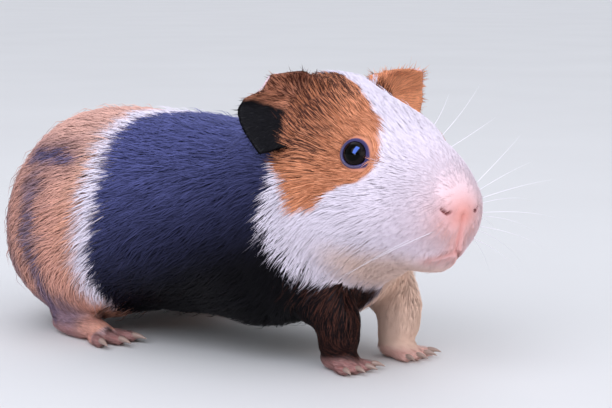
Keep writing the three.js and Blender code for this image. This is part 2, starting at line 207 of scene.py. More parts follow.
def edit_whole(piece, *steps):
    """Runs mesh operators, each with its settings, on all of a piece in edit mode."""
    select_only(piece)
    bpy.ops.object.mode_set(mode="EDIT")
    bpy.ops.mesh.select_all(action="SELECT")
    for operator, settings in steps:
        operator(**settings)
    bpy.ops.object.mode_set(mode="OBJECT")


def clean(piece, merge):
    """Merges points that are nearer than merge in mm, and turns the faces outwards."""
    edit_whole(
        piece,
        (bpy.ops.mesh.remove_doubles, {"threshold": merge * MM}),
        (bpy.ops.mesh.normals_make_consistent, {"inside": False}),
    )


def pulled(items, key, width, kind=np.float32):
    """One value of each item of a mesh as the rows of an array."""
    flat = np.empty(len(items) * width, kind)
    items.foreach_get(key, flat)
    return flat.reshape(-1, width)


def points_of(mesh):
    return pulled(mesh.vertices, "co", 3).astype(float)


def move_points(mesh, points):
    mesh.vertices.foreach_set("co", points.astype(np.float32).ravel())
    mesh.update()


def normals_of(mesh):
    return pulled(mesh.vertex_normals, "vector", 3).astype(float)


def edges_of(mesh):
    return pulled(mesh.edges, "vertices", 2, np.int32)


def evened(values, edges, rounds, hold=0.5):
    """Values at the points, each moved towards the mean of its neighbours."""
    ends = np.concatenate((edges, edges[:, ::-1]))
    count = len(values)
    near = np.maximum(np.bincount(ends[:, 0], minlength=count), 1)
    table = values.reshape(count, -1).astype(float)
    for _ in range(rounds):
        sums = [np.bincount(ends[:, 0], column[ends[:, 1]], count) for column in table.T]
        mean = np.stack(sums, axis=1) / near[:, None]
        table = table * hold + mean * (1 - hold)
    return table.reshape(values.shape)


def write_attribute(mesh, name, values):
    """Puts a number, or the four of a colour, on each point."""
    values = np.asarray(values, np.float32)
    kind, key = ("FLOAT", "value") if values.ndim == 1 else ("FLOAT_COLOR", "color")
    mesh.attributes.new(name, kind, "POINT").data.foreach_set(key, values.ravel())


def read_attribute(mesh, name):
    return pulled(mesh.attributes[name].data, "value", 1).astype(float)[:, 0]


def tree_of(mesh):
    mesh.calc_loop_triangles()
    corners = pulled(mesh.loop_triangles, "vertices", 3, np.int32)
    points = points_of(mesh)
    return BVHTree.FromPolygons(points.tolist(), corners.tolist()), points, corners


def nearest(tree, points):
    """Nearest place on a tree for each point, with the triangle it is on and how far it is."""
    found = [tree.find_nearest(point) for point in points.tolist()]
    places = np.array([place for place, _, _, _ in found])
    return places, np.array([i for _, _, i, _ in found]), np.array([d for _, _, _, d in found])


def shares_in(places, corners):
    """Barycentric shares of places in their triangles, corners being (n, 3, 3)."""
    first, second = corners[:, 1] - corners[:, 0], corners[:, 2] - corners[:, 0]
    offset = places - corners[:, 0]
    a, b, c = (first**2).sum(1), (first * second).sum(1), (second**2).sum(1)
    d, e = (offset * first).sum(1), (offset * second).sum(1)
    size = np.maximum(a * c - b * b, 1e-30)
    v, w = (c * d - b * e) / size, (a * e - b * d) / size
    shares = np.clip(np.stack((1 - v - w, v, w), axis=1), 0, 1)
    return shares / shares.sum(1, keepdims=True)


# ---- Markings and painted light: the same function colours the skin and the coat ---
# Closed outlines of the ginger round each eye: x in the head's frame, and the angle above level.
GINGER_PATCH = {
    "right": [
        (-36, 89), (-20, 87), (-12.7, 85), (-7.3, 81), (0.0, 73), (6.4, 61), (10.0, 47),
        (12.8, 27), (13.3, 11), (13.1, 3), (11.2, -6.5), (9.0, -13), (5.1, -16.5), (0.7, -20),
        (-1.2, -25), (-3.3, -28.5), (-7.6, -28), (-11.4, -28), (-12.2, -22), (-13.4, -16.5),
        (-14.8, -12), (-17.2, -8.6), (-19.6, -3), (-21, 5), (-25, 14), (-33, 30), (-36, 50),
    ],
    "left": [
        (-34, 66), (-13, 62), (-5, 53), (2, 47), (9, 39), (13, 27), (14.5, 12), (13, -3),
        (9, -13), (4, -20), (-2, -25), (-9, -27), (-14, -20), (-18, -8), (-23, 3), (-30, 20),
        (-34, 40),
    ],
}
# Where the white of the cheeks and throat ends and the black begins: angle, then x in the head.
RUFF_EDGE = {
    "right": [(-90, -2), (-80, -3), (-72, -5.5), (-66, -10.3), (-57, -12.6), (-51.6, -14.4),
              (-45, -15.8), (-40, -17.3), (-34.5, -18.9), (-29, -20.1), (-24, -19.8), (-18, -19.5),
              (-13, -19.4), (-8, -19.3), (0, -20), (20, -24), (50, -33), (90, -37)],
    "left": [(-90, -2), (-75, -6), (-60, -12), (-45, -16.5), (-30, -20), (-10, -20), (5, -22),
             (25, -26), (50, -33), (90, -37)],
}
# Where the black of the back ends, and where the white stripe behind it ends: angle, then x.
SADDLE_REAR = {
    "right": [(-60, -36), (-35, -33), (-15, -31), (5, -29), (18, -29), (35, -32), (50, -35),
              (65, -36), (80, -33), (90, -27)],
    "left": [(-60, -24), (-30, -26), (-5, -30), (20, -33), (40, -33), (60, -28), (78, -26),
             (90, -27)],
}
STRIPE_REAR = {
    "right": [(-60, -41), (-35, -37), (-15, -36), (5, -35), (18, -35), (35, -38), (50, -41),
              (65, -43), (80, -44), (90, -43)],
    "left": [(-60, -36), (-30, -37), (-5, -40), (20, -45), (40, -47), (60, -44), (78, -43),
             (90, -43)],
}
BACK_LINE = 40.0  # z of the axis that the trunk's angles are taken round
CHEEK_DEGREE = 0.44  # mm over the cheek for each degree round the head
BORDER_WOBBLE = ((0.9, 3.1, 11), (0.9, 1.3, 12), (0.8, 8.0, 13))
SMUDGE_WOBBLE = ((1.0, 5.0, 21), (0.6, 2.0, 22))
# Limits in mm between which a marking or painted light comes in or fades, by the axis of the row it
# runs along.
CHEST_TOP, CHEST_FRONT = (20, 24), 72  # the chest and the near foreleg, black
THIGH_TOP, THIGH_FRONT = (12, 18), -15  # the hind feet, ginger
STREAK_AT, STREAK_WIDTH, STREAK_X = 59, 3.8, ((-78, -66), (-48, -39))  # level smudge on the rump
SPOT_AT, SPOT_WIDTH, SPOT_SHARE = (-59, 51), 7.5, 0.85  # the round smudge below it
BAND_AT, BAND_WIDTH, BAND_TOP, BAND_SHARE = -57.5, 5.0, (46, 57), 0.9  # smudge down the thigh
BRINDLE_X, BRINDLE_SHARE = (-76, -61), (0.62, 0.45)  # the end of the rump
UNDER_TOP, UNDER_FRONT, UNDER_SHARE = (10, 24), (-50, -36), 0.8  # painted shade low under the rump
FAR_LEG_Y, FAR_LEG_TOP, FAR_LEG_X = (-8, -4), (30, 40), (26, 34)  # the left foreleg, pale
FAR_LEG_LEAN = (20, 34)  # z over which its border moves outwards
SHIN_X, SHIN_TOP, SHIN_SHARE = (34, 48), (26, 38), 0.32  # brown hairs on the right foreleg
TOE_X, TOE_TOP, TOE_SHARE = (74, 80), (4, 9), 0.6  # toes that are less black
PAINTED_SHEEN_Z, ROSE_TOP_LIGHT_Z = (30, 80), (40, 70)  # painted bluish sheen of sky light on the top of the saddle, and pale on the rump that grows higher up as painted light from above
# The same in the head's frame.
TICKED_X, TICKED_Z, TICKED_SHARE = (-18, 9), (-8, 8), 0.58  # dark hairs before the ears
THROAT_DEPTH, THROAT_X, THROAT_SHARE = (17, 26), (-9, 4), 0.85  # the throat, pale, partly as painted warm light thrown up from below
EAR_FOLD = (-22, 17.8)  # y and z of the fold of the right ear, black below it
EAR_HOLLOW_SHADE = (-22, -17)  # x over which painted shade darkens the ear's hollow


def along_edge(table, angles):
    degrees, places = np.array(table, float).T
    return np.interp(angles, degrees, places)


def markings(points):
    """Shares of ginger, black, brown and pale at points, some of them painted light and shade; what
    is left is white.
    """
    rough, head = points / MM, to_head(points)
    ragged = wobble(rough, BORDER_WOBBLE)
    x, y, z = rough.T
    on_face, nape, saddle, rear = np.zeros((4, len(points)))
    for side, sign in SIDES.items():
        # the head
        beside = (head[:, 1] - NOSE_LINE) * sign >= 0
        angle = np.degrees(np.arctan2(head[:, 2] - 2, np.abs(head[:, 1]) + 0.01))
        flat = np.stack((head[:, 0], angle * CHEEK_DEGREE), axis=1)
        patch = inside_by(flat, [(px, pa * CHEEK_DEGREE) for px, pa in GINGER_PATCH[side]])
        on_face = np.where(beside, ease(patch + 0.8 * ragged, -0.7, 0.7), on_face)
        behind = along_edge(RUFF_EDGE[side], angle) - head[:, 0]
        nape = np.where(beside, ease(behind + 1.3 * ragged, -0.8, 0.8), nape)
        # the trunk
        beside = y * sign >= 0
        turn = np.degrees(np.arctan2(z - BACK_LINE, np.abs(y) + 0.01))
        before = x - along_edge(SADDLE_REAR[side], turn)
        stripe = x - along_edge(STRIPE_REAR[side], turn)
        saddle = np.where(beside, ease(before + 1.2 * ragged, -1.0, 1.0), saddle)
        rear = np.where(beside, fade(stripe + 1.4 * ragged, -6, 2), rear)
    nape = np.maximum(nape, fade(z + 2 * ragged, *CHEST_TOP) * (x < CHEST_FRONT))
    rear = np.maximum(rear, fade(z, *THIGH_TOP) * (x < THIGH_FRONT))
    black = nape * saddle
    ginger = np.maximum(on_face * (1 - nape), rear) * (1 - black)
    # the rump's dark smudges, its brindled end, and painted shade low under the rump
    wave = wobble(rough, SMUDGE_WOBBLE)
    level = bump_at(z - STREAK_AT - 1.5 * wave, STREAK_WIDTH)
    streak = level * ease(x, *STREAK_X[0]) * fade(x, *STREAK_X[1])
    from_spot = np.hypot(x - SPOT_AT[0], (z - SPOT_AT[1]) * 0.8)
    spot = bump_at(from_spot - 3 * wave, SPOT_WIDTH) * SPOT_SHARE
    band = bump_at(x - BAND_AT - 2.5 * wave, BAND_WIDTH) * fade(z, *BAND_TOP) * BAND_SHARE
    flecked = BRINDLE_SHARE[0] + BRINDLE_SHARE[1] * wave
    brindle = fade(x + 0.25 * (z - BACK_LINE) + 5 * wave, *BRINDLE_X) * flecked
    # painted shade: a dark band low under the rump, where the body shades it
    under = fade(z + 3 * wave, *UNDER_TOP) * fade(x, *UNDER_FRONT) * UNDER_SHARE
    smudge_and_shade = np.clip(np.maximum.reduce((streak, spot, band, brindle, under)), 0, 1) * ginger
    # black-tipped hairs before the ears, and brown ones in the black of the foreleg
    ticked = fade(head[:, 0], *TICKED_X) * ease(head[:, 2], *TICKED_Z)
    brown = np.maximum(0.25 * smudge_and_shade, TICKED_SHARE * on_face * (1 - nape) * ticked)
    lean = 0.5 * (np.clip(z, *FAR_LEG_LEAN) - FAR_LEG_LEAN[1])
    far = ease(y + lean + 2 * ragged, *FAR_LEG_Y) * fade(z, *FAR_LEG_TOP) * ease(x, *FAR_LEG_X)
    black *= 1 - far
    brown = np.maximum(brown, SHIN_SHARE * black * ease(x, *SHIN_X) * fade(z, *SHIN_TOP))
    # pale hairs: far foreleg, throat (partly painted warm light from below) and rump (paler higher
    # up as painted light from above), and the painted bluish sheen that turns the black on top of
    # the saddle to slate
    # pale on the throat and under the chin: partly painted warm light thrown up from below
    low = ease(-head[:, 2] - 0.12 * head[:, 0], *THROAT_DEPTH)
    throat_and_bounce = THROAT_SHARE * low * ease(head[:, 0], *THROAT_X) * (1 - nape)
    slate = black * ease(z + 0.35 * (20 - x), *PAINTED_SHEEN_Z)
    # pale on the rump, with more of it higher up as painted light from above
    rosy = rear * (1 - brown) * (1 - black) * (0.25 + 0.40 * ease(z, *ROSE_TOP_LIGHT_Z))
    pale = np.maximum.reduce((far, throat_and_bounce, slate, rosy, 0.78 * smudge_and_shade))
    toe = ease(x, *TOE_X) * fade(z, *TOE_TOP) * (y < 0)
    black = np.maximum(black * (1 - TOE_SHARE * toe), 0.96 * smudge_and_shade)
    return np.stack((ginger, black, brown, pale), axis=1)


def ear_markings(points, marks, side):
    """The ears: ginger-brown above the fold and black below on the right, ginger on the left."""
    head = to_head(points)
    if side > 0:
        marks[:] = (1.0, 0.0, 0.0, 0.0)
        return marks
    fold = EAR_FOLD[1] - 0.35 * (head[:, 1] - EAR_FOLD[0])
    lobe = fade(fold - head[:, 2] + drift(points / MM, 2.5, 31), -1.2, 1.2)
    marks[:] = (0.95, 0.0, 0.0, 0.0)
    marks[:, 1] = 1 - lobe
    # painted shade: more dark brown towards the ear's hollow
    hollow_shade = 0.3 * ease(head[:, 0], *EAR_HOLLOW_SHADE)
    marks[:, 2] = lobe * (0.45 + hollow_shade + 0.25 * drift(points / MM, 1.6, 32))
    return marks


# ---- What a user may change ----------------------------------------------
def length(name, about, value):
    return bpy.props.FloatProperty(
        name=name, description=about, default=value * MM, min=0, unit="LENGTH", precision=5
    )


def colour(name, about, value):
    return bpy.props.FloatVectorProperty(
        name=name, description=about, default=value, subtype="COLOR", size=3, min=0, max=1
    )


class GuineaPigSizes(bpy.types.PropertyGroup):
    """Sizes of the animal's surface."""

    voxel: length("Skin voxel", "Edge of the voxels that join the flesh into one skin", 0.6)
    body_depth: length("Body coat depth", "How far the skin is under the tips on the trunk", 4.4)
    neck_depth: length("Neck coat depth", "How far the skin is under the tips on the neck", 3.4)
    cheek_depth: length("Cheek coat depth", "How far the skin is under the tips on the cheeks", 2.3)
    muzzle_depth: length("Muzzle coat depth", "How far the skin is under the tips there", 0.8)
    foot_depth: length("Foot coat depth", "How far the skin is under the tips on the feet", 0.4)
    ear_depth: length("Ear coat depth", "How far the skin is under the tips on the ears", 0.22)
    lid_width: length("Lid width", "Thickness of the bare rim round each eye", 0.80)
    rim_width: length("Rim width", "Thickness of the bare edge of the ears", 0.75)
    whisker_width: length("Whisker width", "Thickness of a whisker at its root", 0.20)
    cover: bpy.props.FloatProperty(
        name="Cover", description="How many tufts lie over each spot", default=4.2, min=1
    )
    seed: bpy.props.IntProperty(name="Seed", description="Order of the random draws", default=7)


class GuineaPigColours(bpy.types.PropertyGroup):
    """Colours of the coat, the skin and the small hard parts."""

    white: colour("White hair", "The blaze, cheeks, ruff and stripe", (0.84, 0.765, 0.875))
    ginger: colour("Ginger hair", "Round the eyes and on the rump", (0.52, 0.170, 0.075))
    sand: colour("Light ginger hair", "The paler hairs among the ginger", (0.78, 0.32, 0.17))
    black: colour("Black hair", "Shoulder, near foreleg and near ear", (0.0035, 0.0030, 0.0048))
    # slate: the colour of the rump's smudges, and also a painted bluish sheen of sky light on the
    # top of the saddle
    slate: colour("Slate hair", "Top of the saddle and the rump's smudges", (0.092, 0.100, 0.262))
    brown: colour("Dark brown hair", "Among the ginger and on the leg", (0.085, 0.030, 0.020))
    # pale hair: on the throat it is partly painted warm light from below, high on the rump painted
    # light from above
    pale: colour("Pale hair", "The breast and the far foreleg", (0.86, 0.60, 0.48))
    blush: colour("Blushing hair", "Thin hair over the nose and lips", (0.84, 0.45, 0.42))
    skin: colour("Bare skin", "Nose, lips and soles", (0.70, 0.27, 0.235))
    # painted shade inside the nostrils and the mouth, in a dark flesh red
    flesh_dark: colour("Dark flesh", "Inside the nostrils and the mouth", (0.16, 0.018, 0.022))
    # ear rim: bare skin, made pale partly as painted rim light from above
    ear_rim: colour("Ear rim", "The thin bare edge of the ears", (0.86, 0.74, 0.84))
    lid: colour("Lid", "The bare rim round each eye", (0.050, 0.040, 0.125))
    iris: colour("Iris", "The ring round the pupil", (0.010, 0.006, 0.007))
    claw: colour("Claw", "Horn of the claws", (0.42, 0.30, 0.25))


# ---- Materials -----------------------------------------------------------
class Finish:
    """A procedural material and short ways to add its nodes."""

    def __init__(self, name):
        self.material = bpy.data.materials.new(name)
        self.material.use_nodes = True
        self.tree = self.material.node_tree
        self.shader = self.tree.nodes["Principled BSDF"]

    def link(self, source, target):
        self.tree.links.new(source, target)

    def feed(self, socket, value):
        if isinstance(value, bpy.types.NodeSocket):
            self.link(value, socket)
        elif hasattr(value, "__len__") and len(value) == 3 and socket.type == "RGBA":
            socket.default_value = (*value, 1)
        else:
            socket.default_value = value

    def attribute(self, name, output="Fac"):
        node = self.tree.nodes.new("ShaderNodeAttribute")
        node.attribute_name = name
        return node.outputs[output]

    def maths(self, operation, *values, clamp=False):
        node = self.tree.nodes.new("ShaderNodeMath")
        node.operation, node.use_clamp = operation, clamp
        for socket, value in zip(node.inputs, values):
            self.feed(socket, value)
        return node.outputs[0]

    def scaled(self, value, gain, start=0.0, clamp=False):
        """The value times the gain, counted from start."""
        return self.maths("MULTIPLY_ADD", value, gain, start, clamp=clamp)

    def mixed(self, share, first, second, blend="MIX"):
        node = self.tree.nodes.new("ShaderNodeMix")
        node.data_type, node.blend_type = "RGBA", blend
        self.feed(node.inputs["Factor"], share)
        self.feed(node.inputs[6], first)
        self.feed(node.inputs[7], second)
        return node.outputs[2]

    def split(self, colour_socket):
        node = self.tree.nodes.new("ShaderNodeSeparateColor")
        self.link(colour_socket, node.inputs[0])
        return node.outputs

    def noise(self, scale, detail=2.0, stretch=None):
        place = self.tree.nodes.new("ShaderNodeTexCoord").outputs["Object"]
        if stretch:
            mapping = self.tree.nodes.new("ShaderNodeMapping")
            mapping.inputs["Scale"].default_value = stretch
            self.link(place, mapping.inputs["Vector"])
            place = mapping.outputs[0]
        node = self.tree.nodes.new("ShaderNodeTexNoise")
        node.inputs["Scale"].default_value = scale
        node.inputs["Detail"].default_value = detail
        self.link(place, node.inputs["Vector"])
        return node.outputs["Fac"]

    def relief(self, height, strength, distance):
        node = self.tree.nodes.new("ShaderNodeBump")
        node.inputs["Strength"].default_value = strength
        node.inputs["Distance"].default_value = distance * MM
        self.link(height, node.inputs["Height"])
        self.link(node.outputs[0], self.shader.inputs["Normal"])

    def set(self, **values):
        for name, value in values.items():
            self.feed(self.shader.inputs[name.replace("_", " ")], value)


def marked_colour(finish, colours):
    """The coat's colour from the marks on the points, and the shares of ginger and black."""
    marks = finish.attribute("marks", "Color")
    ginger, black, brown = finish.split(marks)[:3]
    pale = finish.attribute("marks", "Alpha")
    warm = finish.scaled(finish.attribute("tone"), 0.5, 0.5, clamp=True)
    result = finish.mixed(ginger, colours.white, finish.mixed(warm, colours.ginger, colours.sand))
    result = finish.mixed(pale, result, colours.pale)
    # pale over black gives slate: the smudges' colour, and the painted sheen on top of the saddle
    result = finish.mixed(black, result, finish.mixed(pale, colours.black, colours.slate))
    result = finish.mixed(brown, result, colours.brown)
    return finish.mixed(finish.attribute("blush"), result, colours.blush), ginger, black


def coat_finish(colours):
    finish = Finish("coat hair")
    tone, along = finish.attribute("tone"), finish.attribute("along")
    base, ginger, black = marked_colour(finish, colours)
    # dark hairs differ most in tone from tuft to tuft, and all are darker towards the root as
    # painted shade between the tufts
    strength = finish.scaled(finish.maths("MAXIMUM", ginger, finish.scaled(black, 2.2)), 0.12, 0.03)
    light = finish.scaled(tone, strength, 1.0)
    depth = finish.scaled(finish.maths("MAXIMUM", ginger, black), 0.20, 0.08)
    deep = finish.scaled(finish.maths("SUBTRACT", along, 1.0), depth, 1.03)
    shade = finish.maths("MULTIPLY", light, deep)
    grey = finish.tree.nodes.new("ShaderNodeCombineColor")
    for socket in grey.inputs[:3]:
        finish.link(shade, socket)
    base = finish.mixed(1.0, base, grey.outputs[0], "MULTIPLY")
    rough = finish.scaled(black, -0.20, 0.62)
    finish.set(Base_Color=base, Roughness=rough, Specular_IOR_Level=0.08)
    return finish.material


def skin_finish(colours):
    finish = Finish("skin")
    base, _, black = marked_colour(finish, colours)
    base = finish.mixed(finish.scaled(black, -0.14, 0.14), base, colours.skin)
    veins = finish.scaled(finish.noise(900, 3), 0.45)
    bare = finish.mixed(veins, colours.skin, colours.blush)
    # deep: painted shade in the nostrils and the mouth's slit
    for share, over in (("bare", bare), ("lid", colours.lid), ("deep", colours.flesh_dark)):
        base = finish.mixed(finish.attribute(share), base, over)
    down = finish.maths("ADD", finish.noise(2600, 4), finish.noise(700, 2))
    finish.relief(down, 0.5, 0.12)
    finish.set(Base_Color=base, Roughness=0.55, Specular_IOR_Level=0.25)
    return finish.material


def eye_finish(colours):
    finish = Finish("wet eye")
    from_axis = finish.attribute("from_axis")
    ramp = finish.tree.nodes.new("ShaderNodeValToRGB")
    stops = ((0.0, (0, 0, 0)), (0.52, (0, 0, 0)), (0.60, colours.iris), (0.88, colours.iris),
             (1.0, (0.004, 0.003, 0.006)))
    while len(ramp.color_ramp.elements) < len(stops):
        ramp.color_ramp.elements.new(0.5)
    for element, (place, tint) in zip(ramp.color_ramp.elements, stops):
        element.position, element.color = place, (*tint, 1)
    finish.link(from_axis, ramp.inputs[0])
    fibres = finish.mixed(finish.scaled(finish.noise(1400, 3), 0.6), ramp.outputs[0], (0, 0, 0))
    finish.set(Base_Color=fibres, Roughness=0.02, Specular_IOR_Level=0.09)
    return finish.material


def lid_finish(colours):
    finish = Finish("lid rim")
    wrinkles = finish.noise(1500, 3)
    base = finish.mixed(finish.scaled(wrinkles, 0.5), colours.lid, colours.brown)
    base = finish.mixed(finish.attribute("corner"), base, colours.skin)
    finish.relief(wrinkles, 0.5, 0.08)
    finish.set(Base_Color=base, Roughness=0.34, Specular_IOR_Level=0.55)
    return finish.material


def rim_finish(colours):
    # the ear rim's pale colour, partly painted rim light from above
    finish = Finish("ear rim")
    mottle = finish.scaled(finish.noise(1200, 3), 0.7)
    base = finish.mixed(mottle, colours.ear_rim, colours.blush)
    finish.set(Base_Color=base, Roughness=0.5, Specular_IOR_Level=0.3)
    return finish.material


def claw_finish(colours):
    finish = Finish("claw horn")
    layers = finish.noise(700, 3, (0.3, 1.0, 1.0))
    base = finish.mixed(layers, colours.claw, colours.brown)
    base = finish.mixed(0.55, base, colours.claw)
    finish.relief(layers, 0.3, 0.06)
    finish.set(Base_Color=base, Roughness=0.32)
    return finish.material


def whisker_finish(colours):
    finish = Finish("whisker")
    bright = finish.mixed(finish.noise(300, 1), colours.white, (0.93, 0.92, 0.96))
    finish.set(Base_Color=bright, Roughness=0.3, Specular_IOR_Level=0.6)
    return finish.material


def give(piece, material, slot):
    """Finishes a piece: its material and the body that it rides on; slot is not used."""
    piece.data.materials.clear()
    piece.data.materials.append(material)
    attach(piece, "root")


# ---- Skin ----------------------------------------------------------------
SKIN_FACES = 150000  # triangles left in the skin
EYE_COAT, NOSE_COAT = 0.55, 0.35  # mm of coat round the eyes and at the nose
FORELEG_COAT = 1.6  # mm more at the top of a foreleg than at its foot
NOSE_FROM = 26  # x in the head's frame from which the face is nose
NOSTRIL = [(-7.9, -8.0), (-7.2, -8.8), (-6.5, -9.3), (-5.8, -8.9)]  # y and z, the right one
PHILTRUM = [(NOSE_LINE, -10.0), (NOSE_LINE, -14.0), (-1.3, -17.5), (-1.2, -20.9)]
NOSE_WINGS = ([(-10.4, -4.5), (-9.8, -9.5), (-7.5, -13.0)],
              [(7.4, -4.5), (6.8, -9.5), (4.5, -13.0)])
MOUTH = [(27.2, -8.0, -24.4), (29.4, -5.6, -23.3), (32.2, -3.4, -21.7), (33.6, -1.3, -20.9),
         (32.2, 0.8, -21.7), (29.4, 3.0, -23.3), (27.2, 5.4, -24.4)]
# Depth and width in mm of the furrows of the face; then place, height and width of the swelling
# beside them.
NOSTRIL_FURROW, WING_FURROW = (1.2, 0.42), (0.28, 0.9)
PHILTRUM_FURROW, MOUTH_FURROW = (0.55, 0.6, 1.6, 0.22, 1.0), (0.9, 0.5, 1.5, 0.22, 0.8)


def merged_flesh(sizes):
    """The flesh solids as one closed surface that reaches the tips of the coat."""
    copies = []
    for name in FLESH + ("eye_left", "eye_right"):
        copy = bpy.data.objects.new("skin", frame["nodes"][name].data.copy())
        bpy.context.scene.collection.objects.link(copy)
        copies.append(copy)
    select_only(*copies)
    bpy.ops.object.join()
    piece = bpy.context.view_layer.objects.active
    piece.name = "skin"
    clean(piece, 0.01)
    finish_with(piece, "DISPLACE", strength=0.26 * MM, mid_level=0.0)
    finish_with(piece, "REMESH", mode="VOXEL", voxel_size=sizes.voxel)
    select_only(piece)
    bpy.ops.mesh.separate(type="LOOSE")
    parts = sorted(bpy.context.selected_objects, key=lambda part: len(part.data.vertices))
    for part in parts[:-1]:
        bpy.data.objects.remove(part)
    piece = parts[-1]
    piece.name = "skin"
    finish_with(piece, "SMOOTH", factor=0.5, iterations=5)
    return piece


def flesh_tree():
    """One search tree over the flesh nodes, and the place in FLESH of each of its triangles."""
    points, triangles, owner = [], [], []
    start = 0
    for place, name in enumerate(FLESH):
        _, node_points, corners = tree_of(frame["nodes"][name].data)
        points.append(node_points)
        triangles.append(corners + start)
        owner.append(np.full(len(corners), place))
        start += len(node_points)
    tree = BVHTree.FromPolygons(np.vstack(points).tolist(), np.vstack(triangles).tolist())
    return tree, np.concatenate(owner)


def coat_depths(points, zone, sizes):
    """How deep the coat is at each point of the outline, in metres."""
    head = to_head(points)
    z = points[:, 2] / MM
    muzzle = ease(head[:, 0], 4, 27)
    depth = np.full(len(points), sizes.body_depth)
    depth[zone == NECK] = sizes.neck_depth
    cheek = sizes.cheek_depth + (sizes.muzzle_depth - sizes.cheek_depth) * muzzle
    for side in SIDES.values():
        from_eye = np.linalg.norm(head - eye_centre(side), axis=1)
        cheek = cheek + (EYE_COAT * MM - cheek) * fade(from_eye, 6.5, 13)
    from_nose = np.linalg.norm(head - (35, NOSE_LINE, -9), axis=1)
    cheek = cheek + (NOSE_COAT * MM - cheek) * fade(from_nose, 4, 9)
    depth = np.where(zone == HEAD, cheek, depth)
    fore = (zone >= FIRST_LEG) & (zone < FIRST_LEG + 2)
    hind = (zone >= FIRST_LEG + 2) & (zone < FIRST_EAR)
    depth = np.where(fore, sizes.foot_depth + FORELEG_COAT * MM * ease(z, 6, 26), depth)
    thigh = sizes.foot_depth + (sizes.body_depth - sizes.foot_depth) * ease(z, 7, 24)
    depth = np.where(hind, thigh, depth)
    return np.where(zone >= FIRST_EAR, sizes.ear_depth, depth)


def sink_skin(piece, sizes):
    """Takes the surface in by the depth of the coat, a little at a time."""
    mesh = piece.data
    tree, owner = flesh_tree()
    points = points_of(mesh)
    _, triangle, _ = nearest(tree, points)
    zone = owner[triangle]
    edges = edges_of(mesh)
    on_ear = evened((zone >= FIRST_EAR).astype(float), edges, 3)
    depth = evened(coat_depths(points, zone, sizes), edges, 30)
    depth = np.where(on_ear > 0.6, np.minimum(depth, sizes.ear_depth * 1.5), depth)
    steps = 6
    for _ in range(steps):
        points = points - normals_of(mesh) * (depth / steps)[:, None]
        softened = evened(points, edges, 2)
        points = softened + (points - softened) * np.clip(on_ear * 1.2, 0, 1)[:, None]
        move_points(mesh, points)


def refine_face(piece):
    """Splits the faces of the muzzle and round the eyes, where the carving is fine."""
    mesh = piece.data
    head = to_head(pulled(mesh.polygons, "center", 3).astype(float))
    chosen = (head[:, 0] > 22) & (np.abs(head[:, 1]) < 16)
    for side in SIDES.values():
        chosen |= np.linalg.norm(head - eye_centre(side), axis=1) < 8
    select_only(piece)
    bpy.ops.object.mode_set(mode="EDIT")
    bpy.ops.mesh.select_mode(type="FACE")
    bpy.ops.mesh.select_all(action="DESELECT")
    bpy.ops.object.mode_set(mode="OBJECT")
    mesh.polygons.foreach_set("select", chosen)
    bpy.ops.object.mode_set(mode="EDIT")
    bpy.ops.mesh.subdivide(number_cuts=1, smoothness=0.0)
    bpy.ops.object.mode_set(mode="OBJECT")


CORNER_TURN = -38.0  # where the front corner is, in degrees from straight ahead, up being 90
LID_OPENING = 57  # degrees from the eye's axis to the edge of the lids
FRONT_CORNER, BACK_CORNER = 7, 2.5  # degrees that the corners add


def near_corner(turn, width, opposite=0):
    """1 at the front corner of the lids, or opposite it, and less to both sides of it."""
    return bump_at(np.abs((turn - CORNER_TURN + 180 - opposite) % 360 - 180), width)


def lid_angle(turn):
    """How far the opening of the lids reaches from the eye's axis, in degrees, all round it."""
    front, back = near_corner(turn, 24), near_corner(turn, 26, 180)
    return LID_OPENING + FRONT_CORNER * front + BACK_CORNER * back


def lid_fullness(turn):
    """Thickness of the lids' rim: least above the front corner and most below the back one."""
    return 0.5 - 0.5 * np.cos(np.radians(turn - 50))


def around_eye(head, side):
    """Distance from the eye's centre, angle from its axis and turn round it, in mm and degrees."""
    axis = eye_axis(side)
    up = unit(np.array((0, 0, 1.0)) - axis * axis[2])
    ahead = np.cross(up, axis) * -side
    ahead = ahead * np.sign(ahead[0])
    way = head - eye_centre(side)
    far = np.linalg.norm(way, axis=1)
    angle = np.degrees(np.arccos(np.clip(way @ axis / np.maximum(far, 1e-9), -1, 1)))
    turn = np.degrees(np.arctan2(way @ up, way @ ahead))
    return far, angle, turn, (axis, up, ahead)


def nose_lines(head):
    """Distances in mm to the nostrils, the philtrum and the mouth."""
    front = head[:, 1:]
    left = [(2 * NOSE_LINE - y + 0.8, z) for y, z in NOSTRIL]
    at_front = np.where(head[:, 0] > NOSE_FROM, 0, 50)
    nostril = np.minimum(distance_to_line(front, NOSTRIL), distance_to_line(front, left)) + at_front
    philtrum = distance_to_line(front, PHILTRUM) + at_front
    return nostril, philtrum, distance_to_line(head, MOUTH)


def furrow(distance, depth, width, beside=0, height=0, spread=1):
    """How deep a furrow is at a distance from its middle, less the swelling beside it."""
    return depth * bump_at(distance, width) - height * bump_at(distance - beside, spread)


